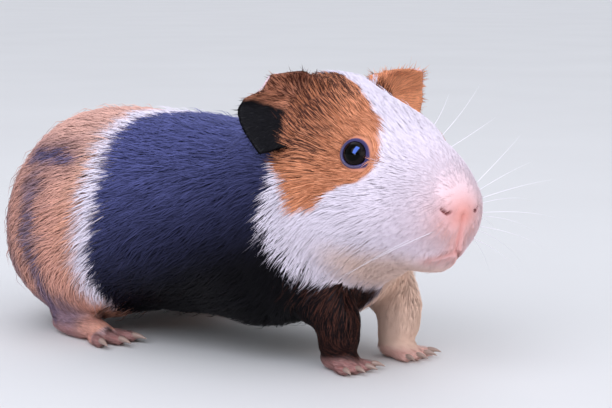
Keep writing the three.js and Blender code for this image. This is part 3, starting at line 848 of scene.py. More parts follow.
def carve_face(piece):
    """Lids, nostrils, philtrum, mouth and the folds beside them."""
    mesh = piece.data
    head = to_head(points_of(mesh))
    for side in SIDES.values():
        far, angle, turn, _ = around_eye(head, side)
        way = unit(head - eye_centre(side))
        mound = soft_max(far, np.full(len(far), EYE_BALL + 0.45), 1.6)
        new = np.where((far < EYE_BALL + 4.5) & (angle < 115), mound, far)
        new -= 0.22 * bump_at(angle - lid_angle(turn) - 19, 5) * (far < EYE_BALL + 3)
        opening = ease(lid_angle(turn) - angle, -1.0, 4.0) * (far < EYE_BALL + 4.5)
        new = new + (EYE_BALL - 0.8 - new) * opening
        head = head + way * (new - far)[:, None]
    move_points(mesh, from_head(head))
    normals = normals_of(mesh) @ HEAD_TURN
    nostril, philtrum, mouth = nose_lines(head)
    wings = [distance_to_line(head[:, 1:], line) for line in NOSE_WINGS]
    cut = furrow(nostril, *NOSTRIL_FURROW)
    cut += furrow(philtrum, *PHILTRUM_FURROW)
    cut += furrow(mouth, *MOUTH_FURROW)
    cut += furrow(np.minimum(*wings), *WING_FURROW) * (head[:, 0] > NOSE_FROM)
    head = head - normals * cut[:, None]
    move_points(mesh, from_head(head))


def bare_skin(points, zone):
    """Shares of bare skin, dark flesh with painted shade in the nostrils and mouth, lid, and the
    rim round the eyes with no tufts.
    """
    head = to_head(points)
    nostril, philtrum, mouth = nose_lines(head)
    pad = bump_at(np.linalg.norm((head - (35.5, NOSE_LINE, -10)) * (0.5, 0.9, 1), axis=1), 6.0)
    lips = bump_at(mouth, 1.8)
    groove = bump_at(philtrum, 3.0)
    bare = np.maximum.reduce((pad, 0.9 * lips, 0.8 * groove))
    height = points[:, 2] / MM
    leg = (zone >= FIRST_LEG) & (zone < FIRST_EAR)
    bare = np.where(leg, np.maximum(bare, 0.5 * fade(height, 2.5, 6)), bare)
    # painted shade: the nostril holes and the mouth's slit darkened, with a shade round each
    # nostril
    hole, shade = bump_at(nostril, 0.5), 0.24 * bump_at(nostril, 1.8)
    deep = np.maximum.reduce((hole, 0.5 * bump_at(mouth, 0.5), shade))
    lid, clear = np.zeros((2, len(points)))
    for side in SIDES.values():
        far, angle, turn, _ = around_eye(head, side)
        reach = 1.2 + 4.2 * lid_fullness(turn)
        near_lid = fade(angle - lid_angle(turn), reach, reach + 4)
        lid = np.maximum(lid, near_lid * (far < EYE_BALL + 1.6))
        clear = np.maximum(clear, fade(angle - lid_angle(turn), 8, 15) * (far < EYE_BALL + 2))
    return bare, deep, lid, clear


def zone_marks(points, zone):
    marks = markings(points)
    for offset, side in enumerate(SIDES.values()):
        ear = zone == FIRST_EAR + offset
        if ear.any():
            marks[ear] = ear_markings(points[ear], marks[ear], side)
    return marks


class GUINEAPIG_OT_skin(bpy.types.Operator):
    """Joins the flesh into one skin under the coat and carves the face"""

    bl_idname = "guineapig.skin"
    bl_label = "Skin"

    def execute(self, context):
        sizes = context.scene.guinea_pig_sizes
        piece = merged_flesh(sizes)
        outline = piece.copy()
        outline.data = piece.data.copy()
        outline.name = "outline"
        context.scene.collection.objects.link(outline)
        sink_skin(piece, sizes)
        refine_face(piece)
        carve_face(piece)
        faces = sum(len(face.vertices) - 2 for face in piece.data.polygons)
        finish_with(piece, "DECIMATE", ratio=min(SKIN_FACES / faces, 1.0))
        select_only(piece)
        bpy.ops.object.shade_smooth()
        edit_whole(piece, (bpy.ops.uv.smart_project, {"angle_limit": 1.15, "island_margin": 0.004}))
        piece.data.uv_layers[0].name = "OFBake"
        points = points_of(piece.data)
        tree, owner = flesh_tree()
        zone = owner[nearest(tree, points)[1]]
        bare, deep, lid, clear = bare_skin(points, zone)
        write_attribute(piece.data, "marks", zone_marks(points, zone))
        carried = {
            "zone": zone, "bare": bare, "deep": deep, "lid": lid, "clear": clear,
            "depth": nearest(tree_of(outline.data)[0], points)[2],
            "tone": drift(points / MM, 2.0, 5) * 0.5,
            "blush": flush_of(to_head(points)) * (zone == HEAD),
        }
        for key, values in carried.items():
            write_attribute(piece.data, key, values)
        bpy.data.objects.remove(outline)
        give(piece, skin_finish(context.scene.guinea_pig_colours), "skin")
        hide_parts(*FLESH)
        return {"FINISHED"}


# ---- Eyes and lids -------------------------------------------------------
class GUINEAPIG_OT_eyes(bpy.types.Operator):
    """Adds the two eyeballs, each with a slightly raised cornea"""

    bl_idname = "guineapig.eyes"
    bl_label = "Eyes"

    def execute(self, context):
        material = eye_finish(context.scene.guinea_pig_colours)
        for name, side in SIDES.items():
            centre = from_head(eye_centre(side))
            select_only(frame["nodes"]["trunk"])
            bpy.ops.mesh.primitive_uv_sphere_add(
                segments=64, ring_count=40, radius=EYE_BALL * MM, location=centre
            )
            piece = context.view_layer.objects.active
            piece.name = "eyeball_" + name
            bpy.ops.object.transform_apply(location=True, rotation=True, scale=True)
            head = to_head(points_of(piece.data))
            _, angle, _, _ = around_eye(head, side)
            cornea = 0.28 * fade(angle, 0, 52)
            head += unit(head - eye_centre(side)) * cornea[:, None]
            move_points(piece.data, from_head(head))
            write_attribute(piece.data, "from_axis", np.clip(angle / 62, 0, 1))
            select_only(piece)
            bpy.ops.object.shade_smooth()
            give(piece, material, "eye")
            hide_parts("eye_" + name)
        return {"FINISHED"}


def swept(name, points, widths, sides=3, closed=False):
    """A round mesh along a line, as thick as widths, from a bevelled curve."""
    line = bpy.data.curves.new(name, "CURVE")
    line.dimensions, line.bevel_depth, line.bevel_resolution = "3D", 1.0, sides
    line.use_fill_caps = not closed
    spline = line.splines.new("POLY")
    spline.points.add(len(points) - 1)
    for knot, place, width in zip(spline.points, points, widths):
        knot.co, knot.radius = (*place, 1), width / 2
    spline.use_cyclic_u = closed
    piece = bpy.data.objects.new(name, line)
    bpy.context.scene.collection.objects.link(piece)
    select_only(piece)
    bpy.ops.object.convert(target="MESH")
    return bpy.context.view_layer.objects.active


def joined(name, pieces):
    select_only(*pieces)
    bpy.ops.object.join()
    piece = bpy.context.view_layer.objects.active
    piece.name = piece.data.name = name
    clean(piece, 0.002)
    bpy.ops.object.shade_smooth()
    return piece


class GUINEAPIG_OT_lids(bpy.types.Operator):
    """Adds the bare rim of the lids round each eye, with its front corner"""

    bl_idname = "guineapig.lids"
    bl_label = "Lids"

    def execute(self, context):
        sizes = context.scene.guinea_pig_sizes
        material = lid_finish(context.scene.guinea_pig_colours)
        for name, side in SIDES.items():
            _, _, _, (axis, up, ahead) = around_eye(np.zeros((1, 3)), side)
            turns = np.arange(0, 360, 5.0)
            around, angle = np.radians(turns)[:, None], np.radians(lid_angle(turns) + 4.0)[:, None]
            round_way = np.cos(around) * ahead + np.sin(around) * up
            way = np.cos(angle) * axis + np.sin(angle) * round_way
            fullness = 0.44 + 0.74 * lid_fullness(turns) + 0.2 * near_corner(turns, 17)
            line = eye_centre(side) + way * (EYE_BALL + 0.34)
            ring = swept("lid", from_head(line), sizes.lid_width * fullness, 4, closed=True)
            piece = joined("lids_" + name, [ring])
            turn = around_eye(to_head(points_of(piece.data)), side)[2]
            write_attribute(piece.data, "corner", 0.3 * near_corner(turn, 9))
            give(piece, material, "skin")
        return {"FINISHED"}


# ---- Rims of the ears: bare edges, pale partly as painted rim light ------
RIM_LIGHT_ABOVE = {"left": 21.0, "right": 22.6}  # z in the head's frame from which the edge shows bare and pale, partly as painted rim light from above
RIM_SHARE = 0.6  # of the ear's reach from its root, within which there is no edge


def ear_edge(skin, offset, name):
    """The outer edge of an ear, as the farthest point of its skin in each direction."""
    zone = read_attribute(skin.data, "zone")
    ear = to_head(points_of(skin.data))[zone == FIRST_EAR + offset]
    way = ear - EAR_ROOT * (1, SIDES[name], 1)
    _, _, axes = np.linalg.svd(way - way.mean(0), full_matrices=False)
    flat = way @ axes[:2].T
    far = np.linalg.norm(flat, axis=1)
    middle = flat[far > 0.5 * far.max()].mean(0)
    turn = np.arctan2(flat[:, 1], flat[:, 0]) - math.atan2(middle[1], middle[0])
    slot = np.round(((turn + math.pi) % (2 * math.pi) - math.pi) / 0.09).astype(int)
    edge = []
    for step in range(slot.min(), slot.max() + 1):
        here = np.flatnonzero(slot == step)
        if len(here) and far[here].max() > RIM_SHARE * far.max():
            best = ear[here[np.argmax(far[here])]]
            if best[2] > RIM_LIGHT_ABOVE[name]:
                edge.append(best)
    edge = np.array(edge)
    edge[1:-1] = 0.5 * edge[1:-1] + 0.25 * (edge[:-2] + edge[2:])
    return edge


class GUINEAPIG_OT_ear_rims(bpy.types.Operator):
    """Adds the thin bare edge along the top of each ear, pale partly as painted rim light"""

    bl_idname = "guineapig.ear_rims"
    bl_label = "Ear rims"

    def execute(self, context):
        sizes = context.scene.guinea_pig_sizes
        material = rim_finish(context.scene.guinea_pig_colours)
        for offset, name in enumerate(SIDES):
            edge = ear_edge(bpy.data.objects["skin"], offset, name)
            ends = np.minimum(np.arange(len(edge)), np.arange(len(edge))[::-1])
            width = sizes.rim_width * (0.35 + 0.65 * ease(ends, 0, 3))
            out = unit(edge - EAR_ROOT * (1, SIDES[name], 1))
            piece = joined("ear_rim_" + name, [swept("rim", from_head(edge + 0.3 * out), width, 3)])
            give(piece, material, "skin")
        return {"FINISHED"}


# ---- Claws ---------------------------------------------------------------
# Each foot as in the solids: heel, length and width of the sole, toes and how far it points out.
FEET = {
    "foreleg": dict(heel=(46.55, 12.5, 3.2), sole=(8, 5.4), count=4, reach=6, radius=1.75,
                    spread=44, claw=3.6, turn=4, stride=1.5),
    "hindleg": dict(heel=(-61.45, 30, 3.4), sole=(27, 5.8), count=3, reach=9, radius=2.1,
                    spread=30, claw=5.0, turn=7, stride=0),
}
TOE_SET, TOE_FAN, TOE_FLAT, OUTER_TOE_LOSS = 1.5, 1.5, 0.15, 0.16


def claw_line(foot, share, side):
    """Points along one claw, from inside the toe to its tip, in mm."""
    reach = foot["reach"] * (1 - OUTER_TOE_LOSS * (2 * share) ** 2)
    swing, turn = math.radians(share * foot["spread"]), math.radians(foot["turn"])
    steps = np.linspace(0, 1, 9)
    out = reach + foot["radius"] * 0.35 + steps * (foot["claw"] + 0.8)
    down = 0.55 + 0.25 * np.sin(steps * math.pi * 0.6) - steps**2 * 0.9
    x, y = out * math.cos(swing), out * math.sin(swing)
    x, y = x + foot["sole"][0] - TOE_SET, y + share * foot["sole"][1] * TOE_FAN
    x, y = x * math.cos(turn) - y * math.sin(turn), x * math.sin(turn) + y * math.cos(turn)
    heel = foot["heel"]
    z = np.maximum(foot["radius"] - TOE_FLAT + down, 0.55 * (1 - steps) + 0.25)
    return np.stack((heel[0] + side * foot["stride"] + x, side * (heel[1] + y), z), axis=1)


class GUINEAPIG_OT_claws(bpy.types.Operator):
    """Adds the curved claws, four to each forefoot and three to each hind foot"""

    bl_idname = "guineapig.claws"
    bl_label = "Claws"

    def execute(self, context):
        material = claw_finish(context.scene.guinea_pig_colours)
        taper = np.array((1.0, 1.04, 1.0, 0.9, 0.78, 0.62, 0.45, 0.28, 0.06))
        for leg, foot in FEET.items():
            for name, side in SIDES.items():
                claws = []
                for i in range(foot["count"]):
                    share = i / (foot["count"] - 1) - 0.5
                    line = claw_line(foot, share, side) * MM
                    claws.append(swept("claw", line, taper * foot["radius"] * 0.95 * MM, 3))
                piece = joined(f"claws_{leg}_{name}", claws)
                give(piece, material, "claw")
        return {"FINISHED"}


# ---- Whiskers ------------------------------------------------------------
# Root and way out in the head's frame, length and droop, for the left side; the right mirrors it.
WHISKERS = [
    ((30, 9.5, -2), (0.10, 0.80, 0.62), 27, 0.10), ((28, 11, -5), (0.05, 0.93, 0.38), 30, 0.14),
    ((31, 9.5, -6.5), (0.22, 0.93, 0.24), 31, 0.12),
    ((27, 12.5, -9), (-0.05, 0.97, 0.12), 33, 0.18),
    ((31.5, 9.5, -10.5), (0.25, 0.95, 0.02), 31, 0.14),
    ((29, 11.5, -12), (0.08, 0.98, -0.08), 30, 0.2),
    ((31.5, 9, -14.5), (0.25, 0.94, -0.16), 28, 0.15), ((28, 11, -16), (0.0, 0.95, -0.28), 27, 0.2),
    ((31, 7.5, -18), (0.2, 0.9, -0.38), 23, 0.15), ((24, 13.5, -13), (-0.35, 0.92, -0.1), 32, 0.2),
    ((25, 12.5, -18), (-0.3, 0.88, -0.42), 27, 0.2),
]
BROWS = [((10, 12.5, 14.5), (0.1, 0.62, 0.78), 13, -0.05)]
BRIDGE = [((19, 7.5, 13.0), (0.10, 0.75, 0.62), 24, -0.02),
          ((22, 7.8, 9.0), (0.16, 0.86, 0.42), 22, 0.05)]
CHEEK_WHISKER = ((12, 22, -20), (-0.72, 0.30, -0.62), 36, 0.05)
# Added to the way out before the mirror.
SWEPT = {"left": (0.0, 0.0, 0.0), "right": (-0.85, -0.35, -0.22)}
WHISKER_KNOTS, WHISKER_ROOT, WHISKER_SWEEP = 14, 0.6, 0.16  # root: mm inside the skin


def whisker(root, way, reach, droop, name, tree, width):
    """One whisker from the skin outwards, thin to a point, with a slight curve."""
    side = SIDES[name]
    start = from_head(np.array(root, float) * (1, side, 1))
    start = np.array(tree.find_nearest(Vector(start))[0])
    ahead = unit(HEAD_TURN @ ((np.array(way) + SWEPT[name]) * (1, side, 1)))
    back, down = HEAD_TURN @ np.array((-1.0, 0, 0)), np.array((0, 0, -1.0))
    along = np.linspace(0, 1, WHISKER_KNOTS)
    steps = along[:, None]
    line = start + ahead * (steps * reach - WHISKER_ROOT) * MM
    line = line + (back * WHISKER_SWEEP + down * droop) * reach * MM * steps**2
    return swept("whisker", line, width * (1 - 0.93 * along) ** 0.8, 2)


class GUINEAPIG_OT_whiskers(bpy.types.Operator):
    """Adds the white whiskers of the muzzle, cheeks and brows"""

    bl_idname = "guineapig.whiskers"
    bl_label = "Whiskers"

    def execute(self, context):
        sizes = context.scene.guinea_pig_sizes
        tree = tree_of(bpy.data.objects["skin"].data)[0]
        hairs = []
        for name in SIDES:
            near = name == "right"
            rows = WHISKERS[6::4] if near else WHISKERS + BROWS + BRIDGE
            for root, way, reach, droop in rows + [CHEEK_WHISKER]:
                width = sizes.whisker_width * (0.7 if near else 1.0)
                hairs.append(whisker(root, way, reach, droop, name, tree, width))
        piece = joined("whiskers", hairs)
        give(piece, whisker_finish(context.scene.guinea_pig_colours), "coat_white")
        return {"FINISHED"}


# ---- Coat ----------------------------------------------------------------
LONG_HAIR = 1.5  # mm of coat depth from which a tuft has two bends
# The heights of a tuft's knots in shares of the coat's depth, and how far along it they are.
TUFT_BENDS = {1: ((-0.1, 0.8, 1.0), (0, 0.45, 1.0)),
              2: ((-0.08, 0.62, 0.95, 0.94), (0, 0.28, 0.64, 1.0))}
TUFT_TAPER = {1: (0.8, 0.85), 2: (0.75, 1.0, 0.72)}  # width at each ring, in shares of the widest
TUFT_RIDGE = 0.85  # height of a tuft's ridge, in shares of half its width
LOWEST = 0.05  # mm over the floor that no hair goes below
PATCH = 0.003  # width of a tuft's place in the unwrap
ROUNDNESS = (0.10, 0.46)  # how far short and long tufts are shaded as round, not as one coat
LOOSE_EAR_HAIR = (0.12, 0.34)  # share that stands out past the edge of the right and left ear
TUFT_LENGTH, TUFT_WIDTH = (1.9, 2.6), (0.165, 0.050)  # mm, and what each mm of depth adds
EAR_TUFT = (3.2, 0.22)  # length and width in mm
RUFF_AT, RUFF_SPAN, RUFF_Z = -15, 7, (-12, 4)  # the ruff's raised hair, in the head's frame
RUFF_LONGER, RUFF_FINER = 0.15, 0.3
CROWN_AT, CROWN_SPAN, CROWN_Z = -21, 6, (20, 25)  # the tousled crown, in the head's frame
LOCK_WIDTH = 4.5  # how many tufts wide a lock is, within which they lean alike
HEAD_CALM = 0.5  # how much the hair of the head strays, against the rest
LOCK_SWAY, SLOW_SWAY, OWN_SWAY = 0.16, 0.22, 0.10  # radians that a tuft turns from the lie
RISE, LOCK_RISE, OWN_RISE = 0.84, 0.07, 0.08  # how high the tips are, in shares of the depth
STRAY_SHARE, STRAY_RISE = 0.015, 0.35  # single hairs that stand higher
UNDER_THIN = 0.6  # share of the tufts left out under the body
EAR_THICK, FOOT_THICK = 0.75, 0.8  # share of them kept on the ears and feet


def lie_of_hair(points, normals, zone):
    """The way that the hair points at each place, along the surface."""
    head, rough = to_head(points), points / MM
    x, _, z = rough.T
    face = unit(head - NOSE_TIP) + np.array((-0.25, 0, 0))
    face[:, 2] -= (0.35 + 0.55 * fade(head[:, 0], -12, 8)) * fade(head[:, 2], -14, 6)
    face[:, 2] += 0.8 * ease(head[:, 2], 5, 18) * fade(head[:, 0], -4, 14)
    for side in SIDES.values():
        out = head - eye_centre(side)
        far = np.linalg.norm(out, axis=1)
        out = unit(out)
        near = fade(far, 6.0, 12.5)
        inwards = np.minimum((face * out).sum(1), 0) * near
        face = face - out * inwards[:, None] + out * (0.22 * near)[:, None]
    face = face @ HEAD_TURN.T
    body = np.stack((np.full(len(x), -1.0), 0 * x, -0.12 - 0.45 * np.abs(normals[:, 1])), axis=1)
    rump = ease(-x, 58, 88)[:, None]
    body = body * (1 - rump) + np.array((-0.5, 0, -1.0)) * rump
    share = ease(x, 8, 44)[:, None]
    way = face * share + body * (1 - share)
    leg = ((zone >= FIRST_LEG) & (zone < FIRST_EAR))[:, None]
    high = ease(z, 5, 14)[:, None]
    down = np.array((0.9, 0, -0.25)) * (1 - high) + np.array((-0.15, 0, -1.0)) * high
    thigh = ease(z, 14, 34)[:, None]
    way = np.where(leg, down * (1 - thigh) + body * thigh, way)
    for offset, side in enumerate(SIDES.values()):
        ear = (zone == FIRST_EAR + offset)[:, None]
        fan = unit(head - EAR_ROOT * (1, side, 1)) @ HEAD_TURN.T
        way = np.where(ear, fan, way)
    way = way - normals * (way * normals).sum(1, keepdims=True)
    return unit(way)


def turned(ways, normals, angles):
    side = np.cross(normals, ways)
    return unit(ways * np.cos(angles)[:, None] + side * np.sin(angles)[:, None])


def flush_of(head):
    """Share of pink that shows through the hair round the nose."""
    from_nose = np.linalg.norm((head - (34, NOSE_LINE, -12)) * (0.8, 1, 0.8), axis=1)
    return 0.36 * bump_at(from_nose, 12) + 0.08 * bump_at(from_nose, 30)


class Coat:
    """The skin as the coat sees it: places, normals, depth, zone and unwrap."""

    def __init__(self, skin):
        self.tree, self.points, self.corners = tree_of(skin.data)
        self.normals = normals_of(skin.data)
        for name in ("depth", "zone", "bare", "deep", "clear"):
            setattr(self, name, read_attribute(skin.data, name))
        loops = pulled(skin.data.loop_triangles, "loops", 3, np.int32)
        self.unwrap = pulled(skin.data.uv_layers["OFBake"].data, "uv", 2)[loops]
        triangles = self.points[self.corners]
        self.area = np.linalg.norm(
            np.cross(triangles[:, 1] - triangles[:, 0], triangles[:, 2] - triangles[:, 0]), axis=1
        ) / 2

    def at(self, values, triangle, shares):
        picked = values[self.corners[triangle]]
        if picked.ndim == 2:
            return (picked * shares).sum(1)
        return (picked * shares[:, :, None]).sum(1)

    def settle(self, points):
        """The nearest places on the skin, with their normals and depths."""
        places, triangle, _ = nearest(self.tree, points)
        shares = shares_in(places, self.points[self.corners[triangle]])
        normals = unit(self.at(self.normals, triangle, shares))
        return places, normals, self.at(self.depth, triangle, shares)


def hair_sizes(depth, zone, head):
    """Length and width of a tuft in mm from the coat's depth in mm."""
    ear = zone >= FIRST_EAR
    ruff = bump_at(head[:, 0] - RUFF_AT, RUFF_SPAN) * fade(head[:, 2], *RUFF_Z) * (~ear)
    long = (TUFT_LENGTH[0] + TUFT_LENGTH[1] * depth) * (1 + RUFF_LONGER * ruff)
    wide = (TUFT_WIDTH[0] + TUFT_WIDTH[1] * depth) * (1 - RUFF_FINER * ruff)
    return np.where(ear, EAR_TUFT[0], long), np.where(ear, EAR_TUFT[1], wide), ruff


def plant(coat, sizes, random):
    """Roots of the tufts, spread over the skin as thickly as its hair is fine."""
    depth, zone = coat.depth / MM, coat.zone
    long, wide, _ = hair_sizes(depth, zone, to_head(coat.points))
    thick = sizes.cover / (0.5 * long * wide)
    normals, rough = coat.normals, coat.points / MM
    hidden = ease(-normals[:, 2], 0.35, 0.8) * (rough[:, 0] < 30)
    thick = thick * (1 - UNDER_THIN * hidden)
    thick *= 0.55 + 0.13 * depth
    thick = np.where(zone >= FIRST_EAR, thick * EAR_THICK, thick)
    thick = np.where((zone >= FIRST_LEG) & (rough[:, 2] < 20), thick * FOOT_THICK, thick)
    share = thick[coat.corners].mean(1) * coat.area / MM**2
    heap = np.cumsum(share)
    total = int(heap[-1])
    draws = (np.arange(total) + random.random(total)) * heap[-1] / total
    triangle = np.minimum(np.searchsorted(heap, draws), len(share) - 1)
    first, second = np.sqrt(random.random(total)), random.random(total)
    shares = np.stack((1 - first, first * (1 - second), first * second), axis=1)
    keep = coat.at(coat.bare, triangle, shares) < 0.12 + 0.70 * random.random(total)
    keep &= coat.at(coat.deep, triangle, shares) < 0.2
    from_tip = np.linalg.norm(to_head(coat.at(coat.points, triangle, shares)) - NOSE_TIP, axis=1)
    keep &= ease(from_tip, 2, 17) > 0.75 * random.random(total)
    keep &= coat.at(coat.clear, triangle, shares) < 0.5
    return triangle[keep], shares[keep]


def piece_of(points, zone):
    """The name of the coat piece that a root belongs to."""
    head = to_head(points)
    across = np.where(zone == HEAD, head[:, 1] - NOSE_LINE, points[:, 1])
    side = np.where(across > 0, "left", "right")
    x = points[:, 0] / MM
    area = np.select(
        [zone >= FIRST_EAR, (zone >= FIRST_LEG + 2) & (points[:, 2] < 0.016), zone >= FIRST_LEG + 2,
         zone >= FIRST_LEG, (zone == HEAD) & (head[:, 0] > 12), zone == HEAD, zone == NECK,
         x > 5, x > -32, x > -60],
        ["ear", "hind_foot", "thigh", "foreleg", "muzzle", "cheek", "neck", "shoulder", "back",
         "loin"],
        "rump",
    )
    return np.char.add(np.char.add("coat_", area), np.char.add("_", side))


def tuft_table(bends):
    """Faces of one tuft: a root cap, three walls between its rings and a pointed end."""
    faces = [(0, 1, 2)]
    for ring in range(bends):
        low, high = ring * 3, ring * 3 + 3
        for i in range(3):
            j = (i + 1) % 3
            faces.append((low + i, high + i, high + j, low + j))
    tip = bends * 3 + 3
    faces += [(tip - 3 + i, tip, tip - 3 + (i + 1) % 3) for i in range(3)]
    return faces


def build_tufts(name, groups):
    """One mesh from groups of tufts, each with lines, normals, widths and what they carry."""
    keys = ("co", "facing", "marks", "tone", "blush", "along", "uv", "loops", "sizes")
    parts = {key: [] for key in keys}
    start = 0
    for lines, normals, widths, carried in groups:
        count, knots = lines.shape[:2]
        bends = knots - 2
        ways = unit(np.gradient(lines, axis=1))
        across = unit(np.cross(ways, normals))
        wide = widths[:, None, None] / 2
        taper = np.array(TUFT_TAPER[bends])[None, :, None]
        rings, half = lines[:, :-1], across[:, :-1] * wide * taper
        ridge = rings + normals[:, :-1] * wide * taper * TUFT_RIDGE
        ring_points = np.stack((rings - half, rings + half, ridge), axis=2).reshape(count, -1, 3)
        co = np.concatenate((ring_points, lines[:, -1:]), axis=1)
        co[:, :, 2] = np.maximum(co[:, :, 2], LOWEST * MM)
        own = carried["round"][:, None, None, None]
        facing = np.stack((-across[:, :-1], across[:, :-1], normals[:, :-1]), axis=2) * own
        facing = (facing + normals[:, :-1, None] * (1 - own)).reshape(count, -1, 3)
        facing = unit(np.concatenate((facing, normals[:, -1:]), axis=1))
        parts["facing"].append(facing.reshape(-1, 3))
        size = co.shape[1]
        table = tuft_table(bends)
        flat = np.concatenate([np.array(face) for face in table])
        loops = start + np.arange(count)[:, None] * size + flat[None]
        along = np.append(np.repeat(np.linspace(0, 0.8, bends + 1), 3), 1.0)
        lay = np.stack((np.append(np.tile((0, 1, 0.5), bends + 1), 0.5) - 0.5, along - 0.5), axis=1)
        parts["co"].append(co.reshape(-1, 3))
        for key in ("marks", "tone", "blush"):
            parts[key].append(np.repeat(carried[key], size, axis=0))
        parts["along"].append(np.tile(along, count))
        uv = carried["uv"][:, None, :] + lay[None] * PATCH
        parts["uv"].append(uv[:, flat].reshape(-1, 2))
        parts["loops"].append(loops.ravel())
        parts["sizes"].append(np.tile([len(face) for face in table], count))
        start += count * size
    stacked = {key: np.concatenate(value) for key, value in parts.items()}
    mesh = bpy.data.meshes.new(name)
    mesh.vertices.add(len(stacked["co"]))
    mesh.vertices.foreach_set("co", stacked["co"].astype(np.float32).ravel())
    mesh.loops.add(len(stacked["loops"]))
    mesh.loops.foreach_set("vertex_index", stacked["loops"].astype(np.int32))
    mesh.polygons.add(len(stacked["sizes"]))
    starts = np.concatenate(([0], np.cumsum(stacked["sizes"])[:-1]))
    mesh.polygons.foreach_set("loop_start", starts.astype(np.int32))
    mesh.update(calc_edges=True)
    unwrap = mesh.uv_layers.new(name="OFBake").data
    unwrap.foreach_set("uv", stacked["uv"].astype(np.float32).ravel())
    for key in ("marks", "tone", "blush", "along"):
        write_attribute(mesh, key, stacked[key])
    mesh.polygons.foreach_set("use_smooth", np.ones(len(stacked["sizes"]), bool))
    mesh.normals_split_custom_set_from_vertices(stacked["facing"].tolist())
    piece = bpy.data.objects.new(name, mesh)
    bpy.context.scene.collection.objects.link(piece)
    return piece


def comb(coat, triangle, shares, random):
    """Lays each tuft along the skin from its root, and says what it carries."""
    roots = coat.at(coat.points, triangle, shares)
    normals = unit(coat.at(coat.normals, triangle, shares))
    depth = coat.at(coat.depth, triangle, shares)
    zone = coat.zone[coat.corners[triangle]][:, 0]
    head = to_head(roots)
    long, wide, ruff = hair_sizes(depth / MM, zone, head)
    count = len(roots)
    lock = np.floor(roots / MM / np.maximum(wide * LOCK_WIDTH, 1.0)[:, None])
    calm = np.where(zone == HEAD, HEAD_CALM, 1.0)
    sway = LOCK_SWAY * scatter(lock, 41) + SLOW_SWAY * drift(roots / MM, 9.0, 42)
    sway = (sway + OWN_SWAY * random.standard_normal(count)) * calm
    lively = LOCK_RISE * scatter(lock, 43) + OWN_RISE * random.standard_normal(count)
    rise = np.clip(RISE + lively * calm, 0.4, 1.0) + 0.12 * ruff * random.random(count)
    rise *= 1 - 0.55 * ease(head[:, 0], 10, 26) * (zone == HEAD)
    crown = bump_at(head[:, 0] - CROWN_AT, CROWN_SPAN) * ease(head[:, 2], *CROWN_Z)
    crown *= zone < FIRST_LEG
    rise += 0.55 * crown * random.random(count) ** 2
    stray = random.random(count) < STRAY_SHARE * calm
    rise = np.where(stray, rise + STRAY_RISE, rise)
    near_tip = fade(np.linalg.norm(head - NOSE_TIP, axis=1), 6, 24)
    long = long * (1 + 0.16 * random.standard_normal(count)).clip(0.6, 1.5) * (1 - 0.25 * near_tip)
    wide = wide * (1 - 0.35 * near_tip)
    results = []
    for bends, chosen in ((2, depth / MM >= LONG_HAIR), (1, depth / MM < LONG_HAIR)):
        heights, knots = TUFT_BENDS[bends]
        place, normal, deep, own = roots[chosen], normals[chosen], depth[chosen], zone[chosen]
        lines = [place + normal * (heights[0] * deep - 0.05 * MM)[:, None]]
        tops = [normal]
        for k in range(1, len(knots)):
            way = turned(lie_of_hair(place, normal, own), normal, sway[chosen])
            step = way * (long[chosen] * (knots[k] - knots[k - 1]) * MM)[:, None]
            place, normal, deep = coat.settle(place + step)
            lift = heights[k] * rise[chosen] * deep + 0.04 * MM
            lines.append(place + normal * lift[:, None])
            tops.append(normal)
            if k == 1:
                shown = place
            elif k == 2 and bends == 2:
                shown = (shown + place) / 2
        lines, tops = np.stack(lines, axis=1), np.stack(tops, axis=1)
        loose = np.select([own > FIRST_EAR, own == FIRST_EAR], LOOSE_EAR_HAIR)
        free = random.random(len(own)) < loose
        reach = (0.5 + 0.6 * random.random(free.sum())) * long[chosen][free] * MM
        start, out = lines[free, 0], tops[free, 0]
        way = turned(lie_of_hair(start, out, own[free]), out, sway[chosen][free])
        for k in range(1, len(knots)):
            lines[free, k] = start + (way + out * 0.16 * knots[k]) * (reach * knots[k])[:, None]
        marks = zone_marks(shown, own)
        draw, brown = random.random(len(marks)), marks[:, 2]
        marks[:, 2] = np.clip(brown + (brown > draw) * 0.5 - 0.25 * (brown < draw), 0, 1)
        results.append((chosen, lines, tops, wide[chosen] * MM, marks))
    pick_uv = (coat.unwrap[triangle] * shares[:, :, None]).sum(1)
    bare = coat.at(coat.bare, triangle, shares)
    tone = np.clip(0.55 * random.standard_normal(count) + 0.5 * scatter(lock, 44), -1.5, 1.5)
    low, high = ROUNDNESS
    rounds = (low + (high - low) * ease(depth / MM, 0.8, 4.0)) * (1 - 0.8 * np.clip(bare, 0, 1))
    blush = np.clip(1.1 * bare + flush_of(head) * (zone == HEAD), 0, 0.9)
    # the left ear's hair is made lighter and more orange as painted light shining through it from
    # behind
    tone = np.where(zone == FIRST_EAR, tone + 1.0, tone)
    groups = {}
    names = piece_of(roots, zone)
    behind = ease(-roots[:, 0] / MM, 26, 44)
    for chosen, lines, tops, widths, marks in results:
        rosy = 0.42 * behind[chosen] * marks[:, 0] * (1 - marks[:, 1:3].max(1))
        blush[chosen] = np.maximum(blush[chosen], rosy)
        for name in np.unique(names[chosen]):
            here = names[chosen] == name
            carried = {
                "marks": marks[here], "tone": tone[chosen][here], "round": rounds[chosen][here],
                "blush": blush[chosen][here], "uv": pick_uv[chosen][here],
            }
            group = (lines[here], tops[here], widths[here], carried)
            groups.setdefault(str(name), []).append(group)
    return groups


COAT_SLOTS = {"muzzle": "coat_white", "cheek": "coat_white", "neck": "coat_black",
              "back": "coat_black", "shoulder": "coat_black", "foreleg": "coat_pale"}


